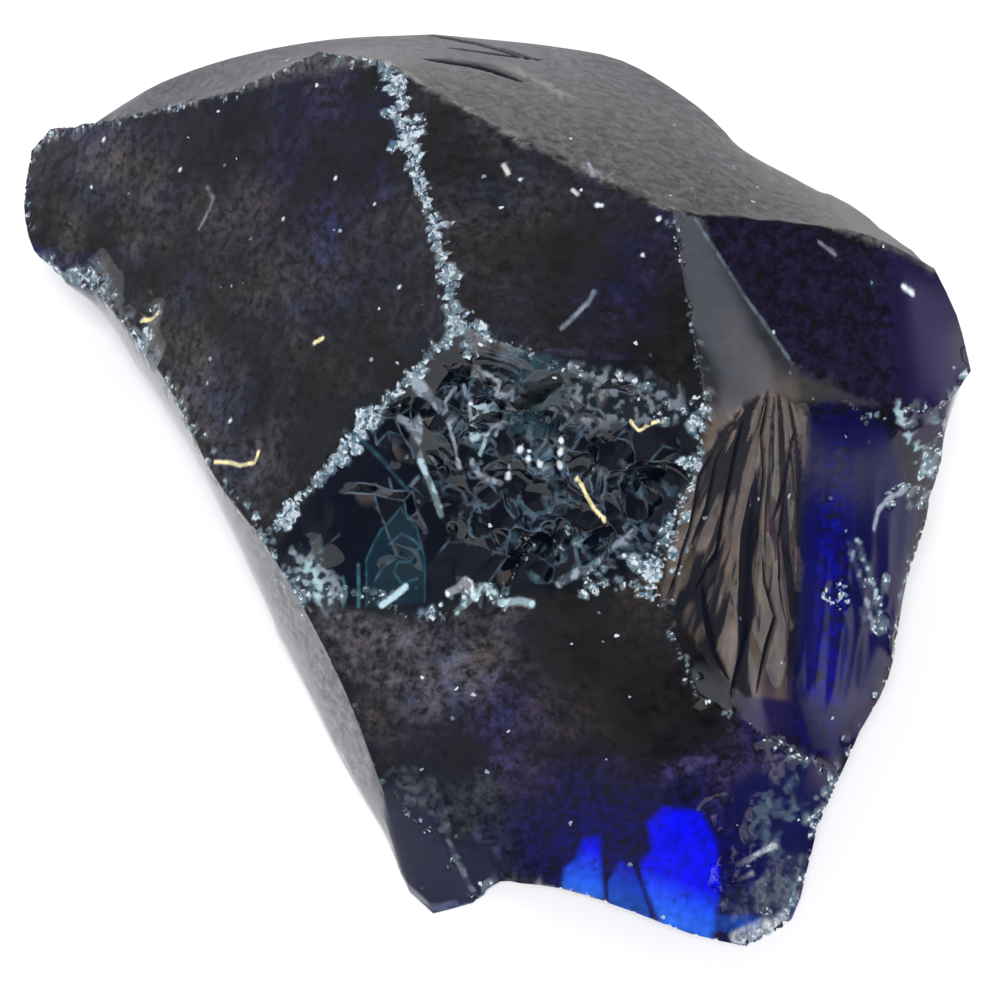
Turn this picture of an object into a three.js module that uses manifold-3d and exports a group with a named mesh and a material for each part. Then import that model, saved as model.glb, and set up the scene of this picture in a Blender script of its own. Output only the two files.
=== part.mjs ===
// Glass cullet: one broken chunk of thick cobalt-blue glass, resting on its flat under face.
// Named corners are joined by ridges, every ridge loop bounds one fracture face, and each face is
// filled with triangles that carry its own bulge and relief. All lengths are millimetres, +Z is up,
// and the finished chunk is centred on its own box and stands on Z = 0.
import * as THREE from 'three';
import { ConvexGeometry } from 'three/addons/geometries/ConvexGeometry.js';
import { mergeVertices } from 'three/addons/utils/BufferGeometryUtils.js';
import Module from 'manifold-3d';

// ---- driving dimensions -------------------------------------------------------------------------
const RIDGE_STEP = 2.9; // spacing of points along every ridge
const RIDGE_JAG = 0.22; // how far a broken ridge wanders from its line
const SMOOTH = 3.0; // triangle spacing on the smooth outer fracture faces
const ROUGH = 2.1; // triangle spacing on shattered and hackled faces
const HIDDEN = 3.8; // triangle spacing on the faces at the back and underneath
const FLAT = 4.5; // triangle spacing on the face it rests on
const EDGE_GAP = 0.62; // share of the spacing kept free between a ridge and the first inner point
const WELD = 1e-3; // vertices closer than this are one vertex
const SEED = 41; // picks the pattern of the broken surface
const GLASS_COLOUR = 0x0c1452;

// ---- corners ------------------------------------------------------------------------------------
const CORNERS = {
  // roof ridge, from the low west end over the peak to the east end
  roof0: [-54.5, 58.5, 33],
  roof1: [-35.5, 50, 48],
  roof2: [-23.5, 48.5, 57],
  roof3: [-14.5, 43, 61],
  roof4: [0, 30.5, 62],
  roof5: [13.5, 24, 60],
  roof6: [21, 19.5, 59.5],
  roof7: [25, 20, 57.5],
  roof8: [35, 21.5, 54.5],
  roof9: [46.5, 23, 50.5],
  roof10: [55, 20.5, 47],
  // back edge of the sloping top
  back0: [-53, 63, 31.5],
  back1: [-47, 62, 37],
  back2: [-36.5, 62, 42],
  back3: [-23, 60, 47.5],
  back4: [-9, 61, 47.5],
  back5: [8, 62, 44],
  back6: [16.5, 59.5, 44],
  back7: [26.5, 51, 44],
  back8: [32, 44, 44],
  back9: [46.5, 39, 38],
  // blunt west end
  west0: [-64, 64.5, 25],
  west1: [-67, 63, 22],
  west2: [-67.5, 54.5, 20],
  west3: [-65.5, 47, 19],
  west4: [-61, 41.5, 19],
  // smooth side wall: its upper rim and its lower skirt
  rim1: [-56, 38.5, 21],
  rim2: [-45, 20.5, 24],
  rim3: [-37, 3.5, 25],
  rim4: [-30.5, -6, 25],
  rim5: [-25, -14, 21],
  rim6: [-19, -24.5, 15],
  rim7: [-15, -34, 10.5],
  skirt1: [-57, 41, 14],
  skirt2: [-47, 25.5, 12],
  skirt3: [-36.5, 6.5, 9],
  skirt4: [-31, -5.5, 6],
  skirt5: [-25.5, -16, 4],
  skirt6: [-20.5, -26, 2.5],
  skirt7: [-15, -35.5, 1],
  // inner crest and the rough middle
  crest: [-5, 6, 54],
  sill: [7.5, 0.5, 52],
  shoulder: [25, 0, 47.5],
  gutter: [24, -7.5, 43.5],
  elbow: [18.5, -16.5, 31],
  foot1: [-12.5, -15.5, 21],
  foot2: [0, -16.5, 25],
  foot3: [11, -16, 28.5],
  // east ribbon, the arch below it and the east end
  lip1: [29.5, 13, 51.5],
  lip2: [34.5, 9, 46],
  arch1: [33.5, 4.5, 43.5],
  arch2: [38.5, 5.5, 41],
  arch3: [43.5, 5.5, 39.5],
  arch4: [50, 4, 39],
  arch5: [56, 5.5, 38],
  fold: [38, -7, 21.5],
  heel1: [24.5, -28.5, 24],
  heel2: [35, -32, 17],
  heel3: [43, -32.5, 10.5],
  east1: [58, 16, 43],
  east2: [60, 11, 38],
  east3: [56.5, 1.5, 27],
  east4: [53, -6.5, 16],
  east5: [50, -19, 12],
  east6: [46, -26, 10.5],
  // pointed south tip and the front edge of the ramp
  nib0: [-11.5, -43.5, 0],
  nib1: [-7.5, -40, 6.5],
  nib2: [-3.5, -45, 0],
  nib3: [-8.5, -46.5, 0],
  toe1: [0, -43, 2],
  toe2: [7.5, -45.5, 5],
  toe3: [16.5, -49.5, 6.5],
  toe4: [23.5, -52.5, 6.5],
  toe5: [30.5, -53.5, 5],
  toe6: [36.5, -49, 3.5],
  toe7: [38.5, -43.5, 5],
  toe8: [40, -38.5, 8],
  // outline of the flat face it rests on
  base1: [1, -37, 0],
  base2: [16, -34, 0],
  base3: [41, -25, 0],
  base4: [49, -6, 0],
  base5: [58, 27, 0],
  base6: [49, 54, 0],
  base7: [10, 68, 0],
  base8: [-26, 64, 0],
  base9: [-60, 60, 0],
  base10: [-52, 43, 0],
  base11: [-35, 13, 0],
  base12: [-19, -23, 0],
  // broad pad under the east end of the front edge
  pad1: [29, -45, 0],
  pad2: [36.5, -41, 0],
};

// A numbered run of corner names, counting up or down: run('roof', 0, 3) is roof0 ... roof3.
function run(stem, first, last) {
  const step = first <= last ? 1 : -1;
  const count = Math.abs(last - first) + 1;
  return Array.from({ length: count }, (_, i) => `${stem}${first + i * step}`);
}

// Lines of corners that bend smoothly instead of turning at each corner.
const SMOOTH_LINES = [
  run('roof', 3, 6),
  run('roof', 7, 10),
  ['roof10', 'east1', 'east2'],
  run('back', 0, 4),
  run('back', 4, 9),
  run('west', 1, 4),
  run('rim', 1, 4),
  run('rim', 4, 7),
  run('skirt', 1, 7),
  run('arch', 1, 5),
  run('toe', 1, 5),
  run('toe', 5, 8),
  ['arch2', 'fold', 'heel2'],
  ['arch5', ...run('east', 3, 6)],
  ['lip1', 'lip2', 'arch3'],
];

// ---- faces --------------------------------------------------------------------------------------
// loop: corners counter-clockwise seen from outside. bulge: millimetres proud (+) or hollow (-) in
// the middle. relief: one of the surface patterns in RELIEF.
const FACES = [
  {
    loop: [...run('west', 1, 4), ...run('rim', 1, 4), 'crest', ...run('roof', 3, 0), 'west0'],
    spacing: SMOOTH,
    bulge: 0.8,
    relief: 'waves',
  },
  {
    loop: ['crest', 'sill', 'shoulder', ...run('roof', 6, 3)],
    spacing: SMOOTH,
    bulge: 0.6,
    relief: 'waves',
  },
  {
    loop: [...run('roof', 0, 10), ...run('back', 9, 0)],
    spacing: SMOOTH,
    bulge: 1.6,
    relief: 'none',
  },
  {
    loop: ['roof6', 'shoulder', 'gutter', ...run('arch', 1, 3), 'lip2', 'lip1', 'roof7'],
    spacing: SMOOTH,
    bulge: -0.6,
    relief: 'none',
  },
  {
    loop: ['roof7', 'lip1', 'lip2', ...run('arch', 3, 5), 'east2', 'east1', ...run('roof', 10, 8)],
    spacing: SMOOTH,
    bulge: 0.8,
    relief: 'waves',
  },
  {
    loop: ['crest', 'rim4', 'rim5', ...run('foot', 1, 3), 'elbow', 'gutter', 'shoulder', 'sill'],
    spacing: ROUGH,
    bulge: -3.2,
    relief: 'shattered',
  },
  {
    loop: [
      ...run('rim', 5, 7), 'nib1', 'nib2', ...run('toe', 1, 8),
      ...run('heel', 3, 1), 'elbow', ...run('foot', 3, 1),
    ],
    spacing: SMOOTH,
    bulge: -0.8,
    relief: 'none',
  },
  {
    loop: ['arch1', 'gutter', 'elbow', 'heel1', 'heel2', 'fold', 'arch2'],
    spacing: ROUGH,
    bulge: 0.8,
    relief: 'hackles',
  },
  {
    loop: ['arch2', 'fold', 'heel2', 'heel3', ...run('east', 6, 3), ...run('arch', 5, 3)],
    spacing: ROUGH,
    bulge: 0.8,
    relief: 'hackles',
  },
  {
    loop: ['rim7', 'nib0', 'nib3', 'nib2', 'nib1'],
    spacing: ROUGH,
    bulge: 0.3,
    relief: 'none',
  },
  {
    loop: ['west4', ...run('skirt', 1, 7), 'nib0', ...run('rim', 7, 1)],
    spacing: SMOOTH,
    bulge: 0.8,
    relief: 'none',
  },
  {
    loop: ['nib2', 'base1', 'base2', 'pad1', 'pad2', 'base3', ...run('toe', 8, 1)],
    spacing: ROUGH,
    bulge: 0,
    relief: 'none',
  },
  {
    loop: ['base3', 'base4', 'east5', 'east6', 'heel3', 'toe8'],
    spacing: HIDDEN,
    bulge: -1.0,
    relief: 'lumps',
  },
  {
    loop: ['base4', 'base5', 'east2', 'arch5', ...run('east', 3, 5)],
    spacing: HIDDEN,
    bulge: -1.5,
    relief: 'lumps',
  },
  {
    loop: ['base5', 'base6', 'back9', 'roof10', 'east1', 'east2'],
    spacing: HIDDEN,
    bulge: -2.0,
    relief: 'waves',
  },
  {
    loop: ['base6', 'base7', ...run('back', 6, 9)],
    spacing: HIDDEN,
    bulge: 1.5,
    relief: 'lumps',
  },
  {
    loop: ['base7', 'base8', ...run('back', 3, 6)],
    spacing: HIDDEN,
    bulge: -2.5,
    relief: 'waves',
  },
  {
    loop: ['base8', 'base9', 'west1', 'west0', 'roof0', ...run('back', 0, 3)],
    spacing: HIDDEN,
    bulge: 1.0,
    relief: 'lumps',
  },
  {
    loop: ['base9', 'base10', 'skirt1', ...run('west', 4, 1)],
    spacing: HIDDEN,
    bulge: -1.5,
    relief: 'waves',
  },
  {
    loop: ['base10', 'base11', ...run('skirt', 3, 1)],
    spacing: HIDDEN,
    bulge: 0.8,
    relief: 'none',
  },
  {
    loop: ['base11', 'base12', 'nib0', ...run('skirt', 7, 3)],
    spacing: HIDDEN,
    bulge: 0.4,
    relief: 'none',
  },
  {
    loop: ['nib2', 'nib3', 'nib0', ...run('base', 12, 3), 'pad2', 'pad1', 'base2', 'base1'],
    spacing: FLAT,
    bulge: 0,
    relief: 'none',
  },
];

// Shell-shaped scoops broken out of the finished surface: centre and half sizes of an egg shape.
const SCOOPS = [
  { centre: [51, -3, -14], half: [16, 18, 24] }, // hollow under the east side
  { centre: [70, -8, 27], half: [17, 17, 17] }, // bite in the east side
];

// Flat-roofed hollows broken under the front edge, open to the front: the corners of each ceiling.
const HOLLOWS = [
  [[11.6, -37.8, 4.2], [13.2, -37.1, 4.4], [13, -52, 5.2], [9.6, -50, 4.8], [8.6, -41.7, 3.8]],
  [[13.7, -42.2, 4.6], [16.8, -42.3, 5.2], [20.7, -54, 5.8], [13.9, -53, 5.4]],
  [[20.4, -34.9, 6.4], [27.6, -35, 6.3], [25.3, -56, 5.9], [21.2, -56, 5.9], [17.5, -42.6, 5.5]],
];
const HOLLOW_FOOT = -2; // height that the walls of a hollow reach down to
const HOLLOW_FLARE = 1.15; // how much wider a hollow is at its foot than at its ceiling

// ---- seeded pattern noise -----------------------------------------------------------------------
const HASH_PRIMES = [374761393, 668265263, 1274126177, 2246822519];

// A repeatable number from 0 to 1 for a whole-numbered place.
function hash(i, j, k, seed = SEED) {
  let mix = seed;
  for (const [index, value] of [i, j, k].entries()) {
    mix = Math.imul(mix ^ Math.imul(value, HASH_PRIMES[index]), HASH_PRIMES[3]);
    mix ^= mix >>> 15;
  }
  return (mix >>> 0) / 2 ** 32;
}

// Smooth noise from -1 to 1 at a point, with lumps about one unit wide.
function noise(x, y, z, seed = SEED) {
  const cell = [Math.floor(x), Math.floor(y), Math.floor(z)];
  const ease = [x - cell[0], y - cell[1], z - cell[2]].map((t) => t * t * (3 - 2 * t));
  let sum = 0;
  for (const corner of [0, 1, 2, 3, 4, 5, 6, 7]) {
    const step = [corner & 1, (corner >> 1) & 1, corner >> 2];
    const weight = step.reduce((w, s, axis) => w * (s ? ease[axis] : 1 - ease[axis]), 1);
    sum += weight * hash(cell[0] + step[0], cell[1] + step[1], cell[2] + step[2], seed);
  }
  return 2 * sum - 1;
}

// Broken ledges: every cell of a jittered grid is a small flat facet with its own tilt and step.
function ledges(x, y, tilt, step) {
  let nearest = Infinity;
  let height = 0;
  for (let i = Math.floor(x) - 1; i <= Math.floor(x) + 1; i += 1) {
    for (let j = Math.floor(y) - 1; j <= Math.floor(y) + 1; j += 1) {
      const dx = x - i - hash(i, j, 1);
      const dy = y - j - hash(i, j, 2);
      const distance = dx * dx + dy * dy;
      if (distance < nearest) {
        nearest = distance;
        const slope = dx * (hash(i, j, 3) - 0.5) + dy * (hash(i, j, 4) - 0.5);
        height = 2 * tilt * slope + step * (hash(i, j, 5) - 0.5);
      }
    }
  }
  return height;
}

// ---- relief of a face, as height in mm over its own flat directions x and y -----------------------
const WAVE_LENGTH = 11;
const WAVE_HEIGHT = 0.18;
const LUMP_SIZE = 13;
const LUMP_HEIGHT = 1.1;
const HACKLE_LENGTH = 26;
const HACKLE_WIDTH = 3.6;
const HACKLE_HEIGHT = 0.9;
const LEDGE_SIZE = 6.5;
const LEDGE_TILT = 2.6;
const LEDGE_STEP = 1.9;

const RELIEF = {
  none: () => 0,
  waves: (x, y) => {
    const rings = Math.sin((2 * Math.PI * Math.hypot(x - 30, y - 30)) / WAVE_LENGTH);
    return WAVE_HEIGHT * (rings + 1.5 * noise(x / LUMP_SIZE, y / LUMP_SIZE, 0));
  },
  lumps: (x, y) => {
    const broad = noise(x / LUMP_SIZE, y / LUMP_SIZE, 7);
    const small = noise((2 * x) / LUMP_SIZE, (2 * y) / LUMP_SIZE, 9);
    return LUMP_HEIGHT * (broad + 0.5 * small);
  },
  // ridges that run down the face and taper like feathers
  hackles: (x, y) => {
    const feather = noise(x / HACKLE_WIDTH, y / HACKLE_LENGTH, 3);
    return HACKLE_HEIGHT * (1 - 2 * Math.abs(feather));
  },
  shattered: (x, y) => {
    const facets = ledges(x / LEDGE_SIZE, y / LEDGE_SIZE, LEDGE_TILT, LEDGE_STEP);
    return facets + 0.5 * LUMP_HEIGHT * noise(x / LEDGE_SIZE, y / LEDGE_SIZE, 5);
  },
};

// ---- ridges -------------------------------------------------------------------------------------
const corners = Object.fromEntries(
  Object.entries(CORNERS).map(([name, place]) => [name, new THREE.Vector3(...place)]),
);

// The place at share t of the way from one corner to the next, bent where a smooth line passes.
function alongRidge(from, to, t) {
  for (const line of SMOOTH_LINES) {
    const index = line.indexOf(from);
    if (index >= 0 && line[index + 1] === to) {
      const curve = new THREE.CatmullRomCurve3(line.map((name) => corners[name]), false, 'centripetal');
      return curve.getPoint((index + t) / (line.length - 1));
    }
  }
  return corners[from].clone().lerp(corners[to], t);
}

// True where the second corner follows the first on one of the smooth lines.
function isNextOnLine(from, to) {
  return SMOOTH_LINES.some((line) => line.includes(from) && line[line.indexOf(from) + 1] === to);
}

const ridgeStore = new Map();

// Inner points of the ridge between two corners, made once and shared by the faces on its sides.
function ridgePoints(a, b) {
  const isForward = isNextOnLine(a, b) || (!isNextOnLine(b, a) && a < b);
  const [from, to] = isForward ? [a, b] : [b, a];
  const key = `${from}-${to}`;
  if (!ridgeStore.has(key)) {
    const count = Math.max(1, Math.round(corners[from].distanceTo(corners[to]) / RIDGE_STEP));
    const onFloor = corners[from].z === 0 && corners[to].z === 0;
    const jag = isNextOnLine(from, to) ? 0 : RIDGE_JAG;
    const points = [];
    for (let i = 1; i < count; i += 1) {
      const point = alongRidge(from, to, i / count);
      const wander = [0, 1, 2].map((axis) => noise(point.x, point.y, point.z, SEED + axis));
      point.x += jag * wander[0];
      point.y += jag * wander[1];
      point.z = onFloor ? 0 : point.z + jag * wander[2];
      points.push(point);
    }
    ridgeStore.set(key, points);
  }
  const points = ridgeStore.get(key);
  return from === a ? points : [...points].reverse();
}

// Every point around a face, corner to corner.
function outline(loop) {
  return loop.flatMap((name, i) => [corners[name], ...ridgePoints(name, loop[(i + 1) % loop.length])]);
}

// ---- flat triangulation -------------------------------------------------------------------------
function isInside(point, polygon) {
  let inside = false;
  for (let i = 0, j = polygon.length - 1; i < polygon.length; j = i, i += 1) {
    const a = polygon[i];
    const b = polygon[j];
    const crosses = a.y > point.y !== b.y > point.y;
    if (crosses && point.x < ((b.x - a.x) * (point.y - a.y)) / (b.y - a.y) + a.x) {
      inside = !inside;
    }
  }
  return inside;
}

function distanceToOutline(point, polygon) {
  let nearest = Infinity;
  const foot = new THREE.Vector2();
  for (let i = 0; i < polygon.length; i += 1) {
    const start = polygon[i];
    const side = polygon[(i + 1) % polygon.length].clone().sub(start);
    const share = foot.copy(point).sub(start).dot(side) / side.lengthSq();
    foot.copy(side).multiplyScalar(THREE.MathUtils.clamp(share, 0, 1)).add(start);
    nearest = Math.min(nearest, foot.distanceTo(point));
  }
  return nearest;
}

// A triangular grid of points inside the outline, slightly shaken so that no row shows.
function innerPoints(polygon, spacing) {
  const box = new THREE.Box2().setFromPoints(polygon);
  const rowStep = (spacing * Math.sqrt(3)) / 2;
  const points = [];
  let row = 0;
  for (let y = box.min.y + rowStep / 2; y < box.max.y; y += rowStep) {
    const shift = row % 2 === 0 ? 0.25 : 0.75;
    let column = 0;
    for (let x = box.min.x + shift * spacing; x < box.max.x; x += spacing) {
      const shake = 0.16 * spacing;
      const point = new THREE.Vector2(
        x + shake * (2 * hash(row, column, 11) - 1),
        y + shake * (2 * hash(row, column, 12) - 1),
      );
      if (isInside(point, polygon) && distanceToOutline(point, polygon) > EDGE_GAP * spacing) {
        points.push(point);
      }
      column += 1;
    }
    row += 1;
  }
  return points;
}

// Circle through three points, as its centre and squared radius.
function circleThrough(a, b, c) {
  const twiceArea = 2 * ((b.x - a.x) * (c.y - a.y) - (b.y - a.y) * (c.x - a.x));
  const ab = b.lengthSq() - a.lengthSq();
  const ac = c.lengthSq() - a.lengthSq();
  const x = (ab * (c.y - a.y) - ac * (b.y - a.y)) / twiceArea;
  const y = (ac * (b.x - a.x) - ab * (c.x - a.x)) / twiceArea;
  return { x, y, radiusSq: (a.x - x) ** 2 + (a.y - y) ** 2 };
}

// Delaunay triangles over a set of flat points, added one at a time.
function delaunay(points) {
  const far = 1e4;
  const all = [...points];
  all.push(new THREE.Vector2(-far, -far), new THREE.Vector2(far, -far), new THREE.Vector2(0, far));
  const count = points.length;
  const make = (ids) => ({ ids, circle: circleThrough(...ids.map((id) => all[id])) });
  let triangles = [make([count, count + 1, count + 2])];
  for (let id = 0; id < count; id += 1) {
    const point = all[id];
    const open = new Map();
    const kept = [];
    for (const triangle of triangles) {
      const { x, y, radiusSq } = triangle.circle;
      if ((point.x - x) ** 2 + (point.y - y) ** 2 >= radiusSq) {
        kept.push(triangle);
        continue;
      }
      const [a, b, c] = triangle.ids;
      for (const [from, to] of [[a, b], [b, c], [c, a]]) {
        if (!open.delete(`${to},${from}`)) {
          open.set(`${from},${to}`, [from, to]);
        }
      }
    }
    triangles = [...kept, ...[...open.values()].map(([from, to]) => make([from, to, id]))];
  }
  return triangles.map((triangle) => triangle.ids).filter((ids) => ids.every((id) => id < count));
}

// ---- one face -----------------------------------------------------------------------------------
// Flat directions of a face: x and y lie in it, z is its outward normal.
function faceDirections(points) {
  const normal = new THREE.Vector3();
  const product = new THREE.Vector3();
  points.forEach((point, i) => {
    normal.add(product.crossVectors(point, points[(i + 1) % points.length]));
  });
  normal.normalize();
  const upward = Math.abs(normal.z) > 0.9 ? new THREE.Vector3(0, 1, 0) : new THREE.Vector3(0, 0, 1);
  const x = new THREE.Vector3().crossVectors(upward, normal).normalize();
  const y = new THREE.Vector3().crossVectors(normal, x);
  return { x, y, normal };
}

const SETTLE_ROUNDS = 300;

// Lets the free values settle to the mean of their neighbours plus a constant push.
function settle(values, neighbours, fixedCount, push) {
  for (let round = 0; round < SETTLE_ROUNDS; round += 1) {
    for (let i = fixedCount; i < values.length; i += 1) {
      const around = neighbours[i];
      const sum = [...around].reduce((total, j) => total + values[j], 0);
      values[i] = sum / around.size + push;
    }
  }
  return values;
}

// Triangles of one face as a flat list of corner places.
function fillFace({ loop, spacing, bulge, relief }) {
  const border = outline(loop);
  const { x, y, normal } = faceDirections(border);
  const flatBorder = border.map((point) => new THREE.Vector2(point.dot(x), point.dot(y)));
  const flat = [...flatBorder, ...innerPoints(flatBorder, spacing)];
  const middle = new THREE.Vector2();
  const triangles = delaunay(flat).filter(([a, b, c]) => {
    middle.copy(flat[a]).add(flat[b]).add(flat[c]).divideScalar(3);
    return isInside(middle, flatBorder);
  });

  const neighbours = flat.map(() => new Set());
  for (const [a, b, c] of triangles) {
    neighbours[a].add(b).add(c);
    neighbours[b].add(a).add(c);
    neighbours[c].add(a).add(b);
  }
  const fixed = border.length;
  border.forEach((_, i) => {
    if (!neighbours[i].has((i + 1) % fixed)) {
      throw new Error(`ridge piece ${i} of face ${loop[0]} is not an edge of its triangles`);
    }
  });

  const heights = settle(flat.map((_, i) => (i < fixed ? border[i].dot(normal) : 0)), neighbours, fixed, 0);
  const dome = settle(flat.map(() => 0), neighbours, fixed, 0.01);
  const domeTop = Math.max(...dome, 1e-9);
  const places = flat.map((point, i) => {
    if (i < fixed) {
      return border[i];
    }
    const rise = dome[i] / domeTop;
    const fade = Math.min(1, 2.5 * rise);
    const height = heights[i] + bulge * rise + fade * RELIEF[relief](point.x, point.y);
    const place = x.clone().multiplyScalar(point.x).addScaledVector(y, point.y);
    return place.addScaledVector(normal, height);
  });
  return triangles.flat().map((i) => places[i]);
}

// ---- the chunk ----------------------------------------------------------------------------------
const wasm = await Module();
wasm.setup();

// Pushes whatever lies inside a scoop's egg shape out to its surface, which leaves a hollow.
function scoop(place) {
  const moved = place.clone();
  for (const { centre, half } of SCOOPS) {
    const from = new THREE.Vector3(...centre);
    const size = new THREE.Vector3(...half);
    const offset = moved.clone().sub(from).divide(size);
    if (offset.length() < 1) {
      moved.copy(offset.normalize().multiply(size).add(from));
    }
  }
  return moved;
}

// A closed mesh as a solid that can be cut.
function toSolid(geometry) {
  const bare = geometry.clone();
  bare.deleteAttribute('normal');
  bare.deleteAttribute('uv');
  const welded = mergeVertices(bare, WELD);
  const vertProperties = new Float32Array(welded.getAttribute('position').array);
  const triVerts = new Uint32Array(welded.getIndex().array);
  return new wasm.Manifold(new wasm.Mesh({ numProp: 3, vertProperties, triVerts }));
}

// The wedge-shaped space under one ceiling.
function hollowSolid(ceiling) {
  const roof = ceiling.map((place) => new THREE.Vector3(...place));
  const middle = new THREE.Vector3();
  roof.forEach((place) => middle.addScaledVector(place, 1 / roof.length));
  const foot = roof.map((place) => {
    const low = place.clone().sub(middle).multiplyScalar(HOLLOW_FLARE).add(middle);
    return low.setZ(HOLLOW_FOOT);
  });
  return toSolid(new ConvexGeometry([...roof, ...foot]));
}

function chunkGeometry() {
  const places = FACES.flatMap(fillFace).map(scoop);
  const loose = new THREE.BufferGeometry();
  loose.setAttribute('position', new THREE.Float32BufferAttribute(places.flatMap((p) => p.toArray()), 3));
  let solid = toSolid(loose);
  for (const ceiling of HOLLOWS) {
    solid = solid.subtract(hollowSolid(ceiling));
  }
  const { vertProperties, triVerts } = solid.getMesh();
  const whole = new THREE.BufferGeometry();
  whole.setAttribute('position', new THREE.BufferAttribute(vertProperties, 3));
  whole.setIndex(new THREE.BufferAttribute(triVerts, 1));
  whole.computeBoundingBox();
  const { min, max } = whole.boundingBox;
  whole.translate(-(min.x + max.x) / 2, -(min.y + max.y) / 2, -min.z);
  return whole;
}

const glass = new THREE.MeshStandardMaterial({ color: GLASS_COLOUR, roughness: 0.08, metalness: 0 });
const chunk = new THREE.Mesh(chunkGeometry(), glass);
chunk.name = 'glass_chunk';

const cullet = new THREE.Group();
cullet.name = 'glass_cullet';
cullet.add(chunk);

export default cullet;
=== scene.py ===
"""Glass cullet: one broken chunk of cobalt-blue glass on a pale studio floor.

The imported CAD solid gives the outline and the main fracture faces. This script refines a copy of it,
breaks fine chips out of its ridges and rough faces, and gives it clear, deep blue, absorbing glass.
"""

import heapq
import math

import bpy
import numpy as np
from bpy.props import FloatProperty, FloatVectorProperty, IntProperty, PointerProperty
from mathutils import Matrix, Vector, noise
from mathutils.kdtree import KDTree


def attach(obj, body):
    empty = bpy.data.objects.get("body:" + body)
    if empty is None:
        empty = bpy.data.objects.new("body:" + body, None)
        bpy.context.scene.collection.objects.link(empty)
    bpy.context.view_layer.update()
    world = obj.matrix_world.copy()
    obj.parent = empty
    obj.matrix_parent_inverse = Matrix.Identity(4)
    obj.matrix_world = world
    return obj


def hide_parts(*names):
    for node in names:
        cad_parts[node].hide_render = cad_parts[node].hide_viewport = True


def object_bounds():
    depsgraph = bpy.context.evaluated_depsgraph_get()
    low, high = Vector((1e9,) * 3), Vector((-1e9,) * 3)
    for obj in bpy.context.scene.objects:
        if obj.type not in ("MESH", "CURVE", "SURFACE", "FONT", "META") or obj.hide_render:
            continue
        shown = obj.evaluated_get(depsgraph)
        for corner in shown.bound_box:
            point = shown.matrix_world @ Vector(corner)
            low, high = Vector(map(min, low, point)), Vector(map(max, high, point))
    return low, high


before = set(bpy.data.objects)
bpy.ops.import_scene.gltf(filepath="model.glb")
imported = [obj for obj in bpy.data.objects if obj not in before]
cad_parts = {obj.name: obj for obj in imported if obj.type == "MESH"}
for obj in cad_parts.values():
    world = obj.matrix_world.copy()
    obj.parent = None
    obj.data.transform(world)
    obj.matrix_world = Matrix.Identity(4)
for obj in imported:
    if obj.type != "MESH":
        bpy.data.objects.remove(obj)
CAD_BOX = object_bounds()

bl_info = {
    "name": "Glass Cullet",
    "version": (1, 0, 0),
    "blender": (4, 5, 0),
    "location": "3D View > Sidebar > Cullet",
    "description": "Builds a broken chunk of clear cobalt glass and a soft studio around it",
    "category": "Object",
}

NODE = "glass_chunk"
SLOT = "cobalt_glass"
MM = 0.001


# ---- settings ---------------------------------------------------------------------------------
def colour_setting(name, description, default):
    """A property that holds a colour."""
    return FloatVectorProperty(name=name, description=description, default=default, subtype="COLOR", size=3)


class ChunkSettings(bpy.types.PropertyGroup):
    """Shape and glass of the chunk."""

    seed: IntProperty(name="Seed", description="Picks the pattern of chips", default=7)
    band: FloatProperty(
        name="Ridge band", description="Width refined beside a ridge", default=0.0008, unit="LENGTH"
    )
    core: FloatProperty(
        name="Ridge core", description="Width refined once more at a ridge", default=0.0003, unit="LENGTH"
    )
    clear: colour_setting("Colour let through", "Colour that the glass lets through", (0.01, 0.39, 0.93))
    density: FloatProperty(
        name="Colour density", description="Absorption of the glass per metre", default=1060.0
    )
    ior: FloatProperty(name="IOR", description="Index of refraction", default=1.52)
    grain: FloatProperty(name="Grain", description="Specks of the dusty film per metre", default=760.0)
    crumbs: FloatProperty(name="Crumbs", description="Crumbs of crushed glass per metre", default=2300.0)
    crushed: colour_setting("Crushed edge", "Crushed glass along the ridges", (0.62, 0.69, 0.74))
    bruised: colour_setting("Bruised edge", "Crushed glass that lies deeper", (0.07, 0.15, 0.22))


class StageSettings(bpy.types.PropertyGroup):
    """Camera and floor."""

    lens: FloatProperty(name="Lens", description="Focal length in millimetres", default=100.0)
    distance: FloatProperty(
        name="Distance", description="Camera distance from the chunk", default=0.3584, unit="LENGTH"
    )
    elevation: FloatProperty(
        name="Elevation", description="Camera height angle", default=math.radians(55), subtype="ANGLE"
    )
    aim: FloatVectorProperty(
        name="Aim",
        description="Where the camera looks, from the low corner of the chunk's box",
        default=(0.0675, 0.0535, 0.025),
        subtype="XYZ_LENGTH",
        size=3,
    )
    floor_colour: colour_setting("Floor", "Colour of the floor", (0.93, 0.93, 0.94))
    floor_size: FloatProperty(
        name="Floor size", description="Side of the square floor", default=8.0, unit="LENGTH"
    )


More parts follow.
